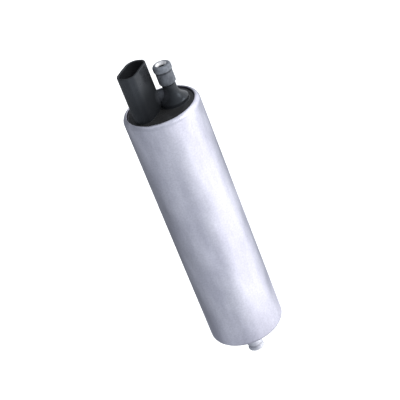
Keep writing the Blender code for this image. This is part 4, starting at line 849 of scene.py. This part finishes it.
cast, tree, shader = start_material("cast_cover_metal", (0.5, 0.51, 0.57), 1.0, 0.25)
grain = noise(tree, scale=1500.0, detail=3.0)
stain = noise(tree, scale=180.0, detail=3.0)
feed(tree, spread(tree, stain, low=0.56, high=0.66), shader.inputs["Roughness"])
color = tint(tree, spread(tree, stain, low=0.0, high=1.0), CAST_DARK, CAST_LIGHT)
# painted shade in the groove between the ridges
from_groove = maths(tree, "SUBTRACT", height_of(tree), GROOVE_MIDDLE_Z * MM)
either_way = maths(tree, "ABSOLUTE", from_groove)
painted_groove_shade = spread(tree, either_way, low=0.7, high=1.0, start=0.4 * MM, end=1.1 * MM)
feed(tree, scaled(tree, color, painted_groove_shade), shader.inputs["Base Color"])
bump(tree, shader, [(grain, 0.3, 0.0001)])
print("cast cover:", len(tree.nodes), "nodes")

# %% [markdown]
# The inner pieces keep their solids, because nothing of them shows except the two blades in
# the socket. Each slot still gets its own finish. Writing a tree for each would be long, so
# one recipe makes them all: two close colours, a range of roughness and a small bump, driven
# by noise at a fitting scale.

# %% Helper for the inner finishes
def simple_finish(name, dark, light, metallic, smooth, rough, scale, stretch, depth):
    """A finish of two close colours with uneven gloss and a small bump."""
    made, tree, shader = start_material(name, light, metallic, rough)
    pattern = noise(tree, scale, 3.0, stretch)
    color = tint(tree, spread(tree, pattern, 0.0, 1.0), dark, light)
    tree.links.new(color, shader.inputs["Base Color"])
    tree.links.new(spread(tree, pattern, smooth, rough), shader.inputs["Roughness"])
    bump(tree, shader, [(pattern, 0.3, depth)])
    return made


# %% [markdown]
# The photo shows none of these materials, so each gets the usual colour of its metal, plastic
# or rubber. Each row gives the two colours, how metallic it is, its two ends of roughness, the
# noise's scale and stretch, and the bump's depth in metres. The four finishes made before go
# into the same table.

# %% Inner finishes
EVEN = (1.0, 1.0, 1.0)
ROUND = (0.2, 0.2, 3.0)
LAYERS = (0.02, 0.02, 1.0)
finishes = {
    "satin_can": satin,
    "black_moulding": moulding,
    "plated_steel": plated,
    "cast_cover": cast,
    "tinned_brass": simple_finish(
        "tinned_brass_blade", (0.5, 0.48, 0.43), (0.66, 0.64, 0.58), 1.0, 0.22, 0.38, 700.0, EVEN, 5e-5),
    "ground_steel": simple_finish(
        "ground_steel_rod", (0.42, 0.42, 0.44), (0.56, 0.56, 0.58), 1.0, 0.15, 0.3, 900.0, ROUND, 4e-5),
    "core_steel": simple_finish(
        "core_sheet_steel", (0.13, 0.13, 0.15), (0.27, 0.27, 0.29), 1.0, 0.4, 0.6, 2200.0, LAYERS, 2e-4),
    "ferrite": simple_finish(
        "ferrite_block", (0.035, 0.035, 0.038), (0.07, 0.07, 0.076), 0.0, 0.6, 0.8, 900.0, EVEN, 1e-4),
    "copper": simple_finish(
        "copper_wire", (0.5, 0.18, 0.07), (0.75, 0.33, 0.15), 1.0, 0.28, 0.45, 900.0, EVEN, 1e-4),
    "carbon": simple_finish(
        "pressed_carbon", (0.018, 0.018, 0.018), (0.045, 0.045, 0.045), 0.0, 0.5, 0.7, 1200.0, EVEN, 8e-5),
    "bronze": simple_finish(
        "sintered_bronze", (0.38, 0.23, 0.09), (0.55, 0.36, 0.17), 1.0, 0.38, 0.55, 1600.0, EVEN, 8e-5),
    "sintered_steel": simple_finish(
        "sintered_steel_rotor", (0.22, 0.22, 0.23), (0.36, 0.36, 0.37), 1.0, 0.4, 0.58, 1500.0, EVEN, 6e-5),
    "seal_rubber": simple_finish(
        "seal_rubber_ring", (0.014, 0.013, 0.012), (0.03, 0.028, 0.026), 0.0, 0.65, 0.85, 1400.0, EVEN, 6e-5),
    "spring_steel": simple_finish(
        "spring_wire", (0.45, 0.45, 0.47), (0.62, 0.62, 0.64), 1.0, 0.18, 0.34, 1100.0, EVEN, 3e-5),
    "nylon": simple_finish(
        "nylon_moulding", (0.68, 0.65, 0.56), (0.79, 0.77, 0.7), 0.0, 0.42, 0.58, 600.0, EVEN, 5e-5),
    "washer_fibre": simple_finish(
        "fibre_washer", (0.24, 0.12, 0.05), (0.42, 0.25, 0.13), 0.0, 0.6, 0.8, 1500.0, EVEN, 6e-5),
}
print(len(finishes), "finishes made")

# %% [markdown]
# The frame's record says which slot each node has. Setting materials one by one would be easy
# to get wrong, so two loops hand them out: one to the frame's nodes and one to the four new
# pieces.

# %% Hand out the finishes
slot_of = {entry["node"]: entry["material_slot"] for entry in frame["record"]["subparts"]}
for node_name, node in frame["nodes"].items():
    node.data.materials.clear()
    node.data.materials.append(finishes[slot_of[node_name]])
for slot, piece in dressed.items():
    piece.data.materials.append(finishes[slot])
print("finishes on", len(slot_of), "nodes and", len(dressed), "new pieces")

# %% [markdown]
# The camera stands where the photographer's stood. The slant in the photo could be made by
# tilting the pump, but then it would leave its own upright frame, so the camera is rolled
# instead. The view angle is that of a long lens, and the distance follows from it and from the
# can's size in the picture.

# %% Camera
PHOTO_WIDTH = 400
FOCAL_PX = 1457.0
SENSOR_WIDTH = 36.0
CAMERA_SIDE = 0.2
CAMERA_DISTANCE = 686.0
CAMERA_RISE = 350.6
AIM_TURN = radians(0.065)
LOOK_DOWN = radians(31.1)
ROLL = radians(21.84)

camera_data = bpy.data.cameras.new("photo_camera")
camera_data.sensor_width = SENSOR_WIDTH
camera_data.lens = FOCAL_PX / PHOTO_WIDTH * SENSOR_WIDTH
camera = bpy.data.objects.new("photo_camera", camera_data)
bpy.context.scene.collection.objects.link(camera)
level_right = Vector((cos(AIM_TURN), -sin(AIM_TURN), 0.0))
level_ahead = Vector((sin(AIM_TURN), cos(AIM_TURN), 0.0))
forward = level_ahead * cos(LOOK_DOWN) - Vector((0.0, 0.0, sin(LOOK_DOWN)))
level_up = level_right.cross(forward)
right = cos(ROLL) * level_right - sin(ROLL) * level_up
up = right.cross(forward)
axes = Matrix((right, up, -forward)).transposed().to_4x4()
spot = Vector((CAMERA_SIDE, -CAMERA_DISTANCE, RIM_Z + CAMERA_RISE)) * MM
camera.matrix_world = Matrix.Translation(spot) @ axes
bpy.context.scene.camera = camera
print("camera at", [round(v, 3) for v in spot], "with a lens of", round(camera_data.lens, 1), "mm")

# %% [markdown]
# The photo's ground is white and the pump hangs free in it. A plane close under the pump would
# take a shadow that the photo doesn't have, so the pale floor lies well below. It glows a
# little to stay white, and reflections don't see it.

# %% Floor
FLOOR_DROP = 260.0
FLOOR_HALF_WIDTH = 4.0
FLOOR_GLOW = 0.55

shape = bmesh.new()
bmesh.ops.create_grid(shape, x_segments=8, y_segments=8, size=FLOOR_HALF_WIDTH)
floor_mesh = bpy.data.meshes.new("floor")
shape.to_mesh(floor_mesh)
shape.free()
floor = bpy.data.objects.new("floor", floor_mesh)
floor.location.z = (INLET_TIP_Z - FLOOR_DROP) * MM
floor.visible_glossy = False
bpy.context.scene.collection.objects.link(floor)
pale, tree, shader = start_material("pale_floor", (0.9, 0.9, 0.9), 0.0, 0.9)
shader.inputs["Emission Color"].default_value = (1.0, 1.0, 1.0, 1.0)
shader.inputs["Emission Strength"].default_value = FLOOR_GLOW
floor_mesh.materials.append(pale)
print("floor at", round(floor.location.z, 3), "m")

# %% [markdown]
# All the light comes from the sky. Lamps would do for a matt object, but a can mirrors what
# stands round it, so the sky itself has to be drawn. It has two bands of brightness by compass
# angle: a low one, which the upright walls mirror, and a high one for the rolled rim. Angle
# zero is toward the camera and 90 is on the right. The levels were chosen by comparing the
# can's reflections with the photo.

# %% Sky bands
LOW_SKY = (
    (-180, 0.16), (-145, 0.1), (-120, 0.19), (-98, 0.27), (-60, 0.34), (-25, 0.43), (0, 0.6),
    (30, 0.82), (55, 1.05), (85, 1.05), (105, 0.69), (125, 0.49), (150, 0.32), (180, 0.16))
HIGH_SKY = (
    (-180, 0.25), (-150, 0.14), (-120, 0.16), (-90, 0.22), (-45, 0.33), (0, 0.45), (45, 0.75),
    (90, 1.05), (125, 0.85), (150, 0.7), (165, 0.45), (180, 0.25))

world = bpy.data.worlds.new("studio_sky")
world.use_nodes = True
bpy.context.scene.world = world
sky = world.node_tree
direction = sky.nodes.new("ShaderNodeTexCoord").outputs["Generated"]
parts = sky.nodes.new("ShaderNodeSeparateXYZ")
sky.links.new(direction, parts.inputs["Vector"])
toward = maths(sky, "MULTIPLY", parts.outputs["Y"], -1.0)
azimuth = maths(sky, "ARCTAN2", parts.outputs["X"], toward)
compass = spread(sky, azimuth, low=0.0, high=1.0, start=-pi, end=pi)


def sky_band(levels):
    """A ramp round the horizon; a new one has two stops, and the darker a stop is, the bluer it is."""
    ramp = sky.nodes.new("ShaderNodeValToRGB")
    ramp.color_ramp.interpolation = "B_SPLINE"
    stops = ramp.color_ramp.elements
    for k, (angle, level) in enumerate(levels):
        if k == 0:
            stop = stops[0]
        elif k == len(levels) - 1:
            stop = stops[-1]
        else:
            stop = stops.new((angle + 180) / 360)
        cool = 1.0 - level
        stop.color = (level * (1.0 - 0.07 * cool), level, level * (1.02 + 0.08 * cool), 1.0)
    sky.links.new(compass, ramp.inputs["Fac"])
    return ramp.outputs["Color"]


rising = spread(sky, parts.outputs["Z"], low=0.0, high=1.0, start=-0.3, end=0.0, soft=True)
bands = tint(sky, rising, sky_band(LOW_SKY), sky_band(HIGH_SKY))
print("sky bands with", len(LOW_SKY), "and", len(HIGH_SKY), "stops")

# %% [markdown]
# Three parts of the sky depart from the bands. Straight up it is a calm grey, straight down it
# is dimmer, and above and behind the pump is a shaded zone, which the flat face of the cap
# mirrors. Without that zone the black plate would look grey. Each is a soft patch about a
# direction, so no edge shows in the metal.

# %% Zenith, nadir and the shaded zone
ZENITH_GREY = (0.5, 0.52, 0.55)
NADIR_LEVEL = 0.62
SHADE_TOWARD = Vector((0.0, 0.857, 0.515)).normalized()
SHADE_LEVEL = 0.42


def facing(toward):
    """How nearly a ray points toward a direction, 1 for exactly."""
    made = sky.nodes.new("ShaderNodeVectorMath")
    made.operation = "DOT_PRODUCT"
    made.inputs[1].default_value = toward
    sky.links.new(direction, made.inputs[0])
    return made.outputs["Value"]


zenith = spread(sky, parts.outputs["Z"], low=0.0, high=1.0, start=0.7, end=0.98, soft=True)
dome = tint(sky, zenith, bands, ZENITH_GREY)
nadir = spread(sky, parts.outputs["Z"], low=NADIR_LEVEL, high=1.0, start=-0.97, end=-0.68, soft=True)
behind = facing(SHADE_TOWARD)
shade = spread(sky, behind, low=1.0, high=SHADE_LEVEL, start=0.82, end=0.97, soft=True)
dimmed = scaled(sky, scaled(sky, dome, nadir), shade)
print("the shaded zone lies toward", [round(v, 2) for v in SHADE_TOWARD])

# %% [markdown]
# A soft lamp high on the right gives ridges, beads and flares their small glints. It is part
# of the sky too, so nothing has to be placed in the scene. The camera alone sees plain white
# instead of this sky, which the light path tells, so the picture's ground is as white as in
# the photo. The Standard view keeps the colours as they are computed.

# %% Lamp and white ground
SKY_STRENGTH = 1.7
LAMP_TOWARD = Vector((0.791, -0.212, 0.574)).normalized()
LAMP_LEVEL = 2.0

lamp_side = facing(LAMP_TOWARD)
lamp = spread(sky, lamp_side, low=0.0, high=LAMP_LEVEL, start=0.95, end=0.985, soft=True)
lit = sky.nodes.new("ShaderNodeVectorMath")
lit.operation = "ADD"
sky.links.new(dimmed, lit.inputs[0])
sky.links.new(lamp, lit.inputs[1])
background = sky.nodes["Background"]
background.inputs["Strength"].default_value = SKY_STRENGTH
sky.links.new(lit.outputs["Vector"], background.inputs["Color"])
white_ground = sky.nodes.new("ShaderNodeBackground")
white_ground.inputs["Color"].default_value = (1.0, 1.0, 1.0, 1.0)
ray = sky.nodes.new("ShaderNodeLightPath")
by_ray = sky.nodes.new("ShaderNodeMixShader")
sky.links.new(ray.outputs["Is Camera Ray"], by_ray.inputs["Fac"])
sky.links.new(background.outputs["Background"], by_ray.inputs[1])
sky.links.new(white_ground.outputs["Background"], by_ray.inputs[2])
sky.links.new(by_ray.outputs["Shader"], sky.nodes["World Output"].inputs["Surface"])
bpy.context.scene.view_settings.view_transform = "Standard"
print("studio sky:", len(sky.nodes), "nodes")
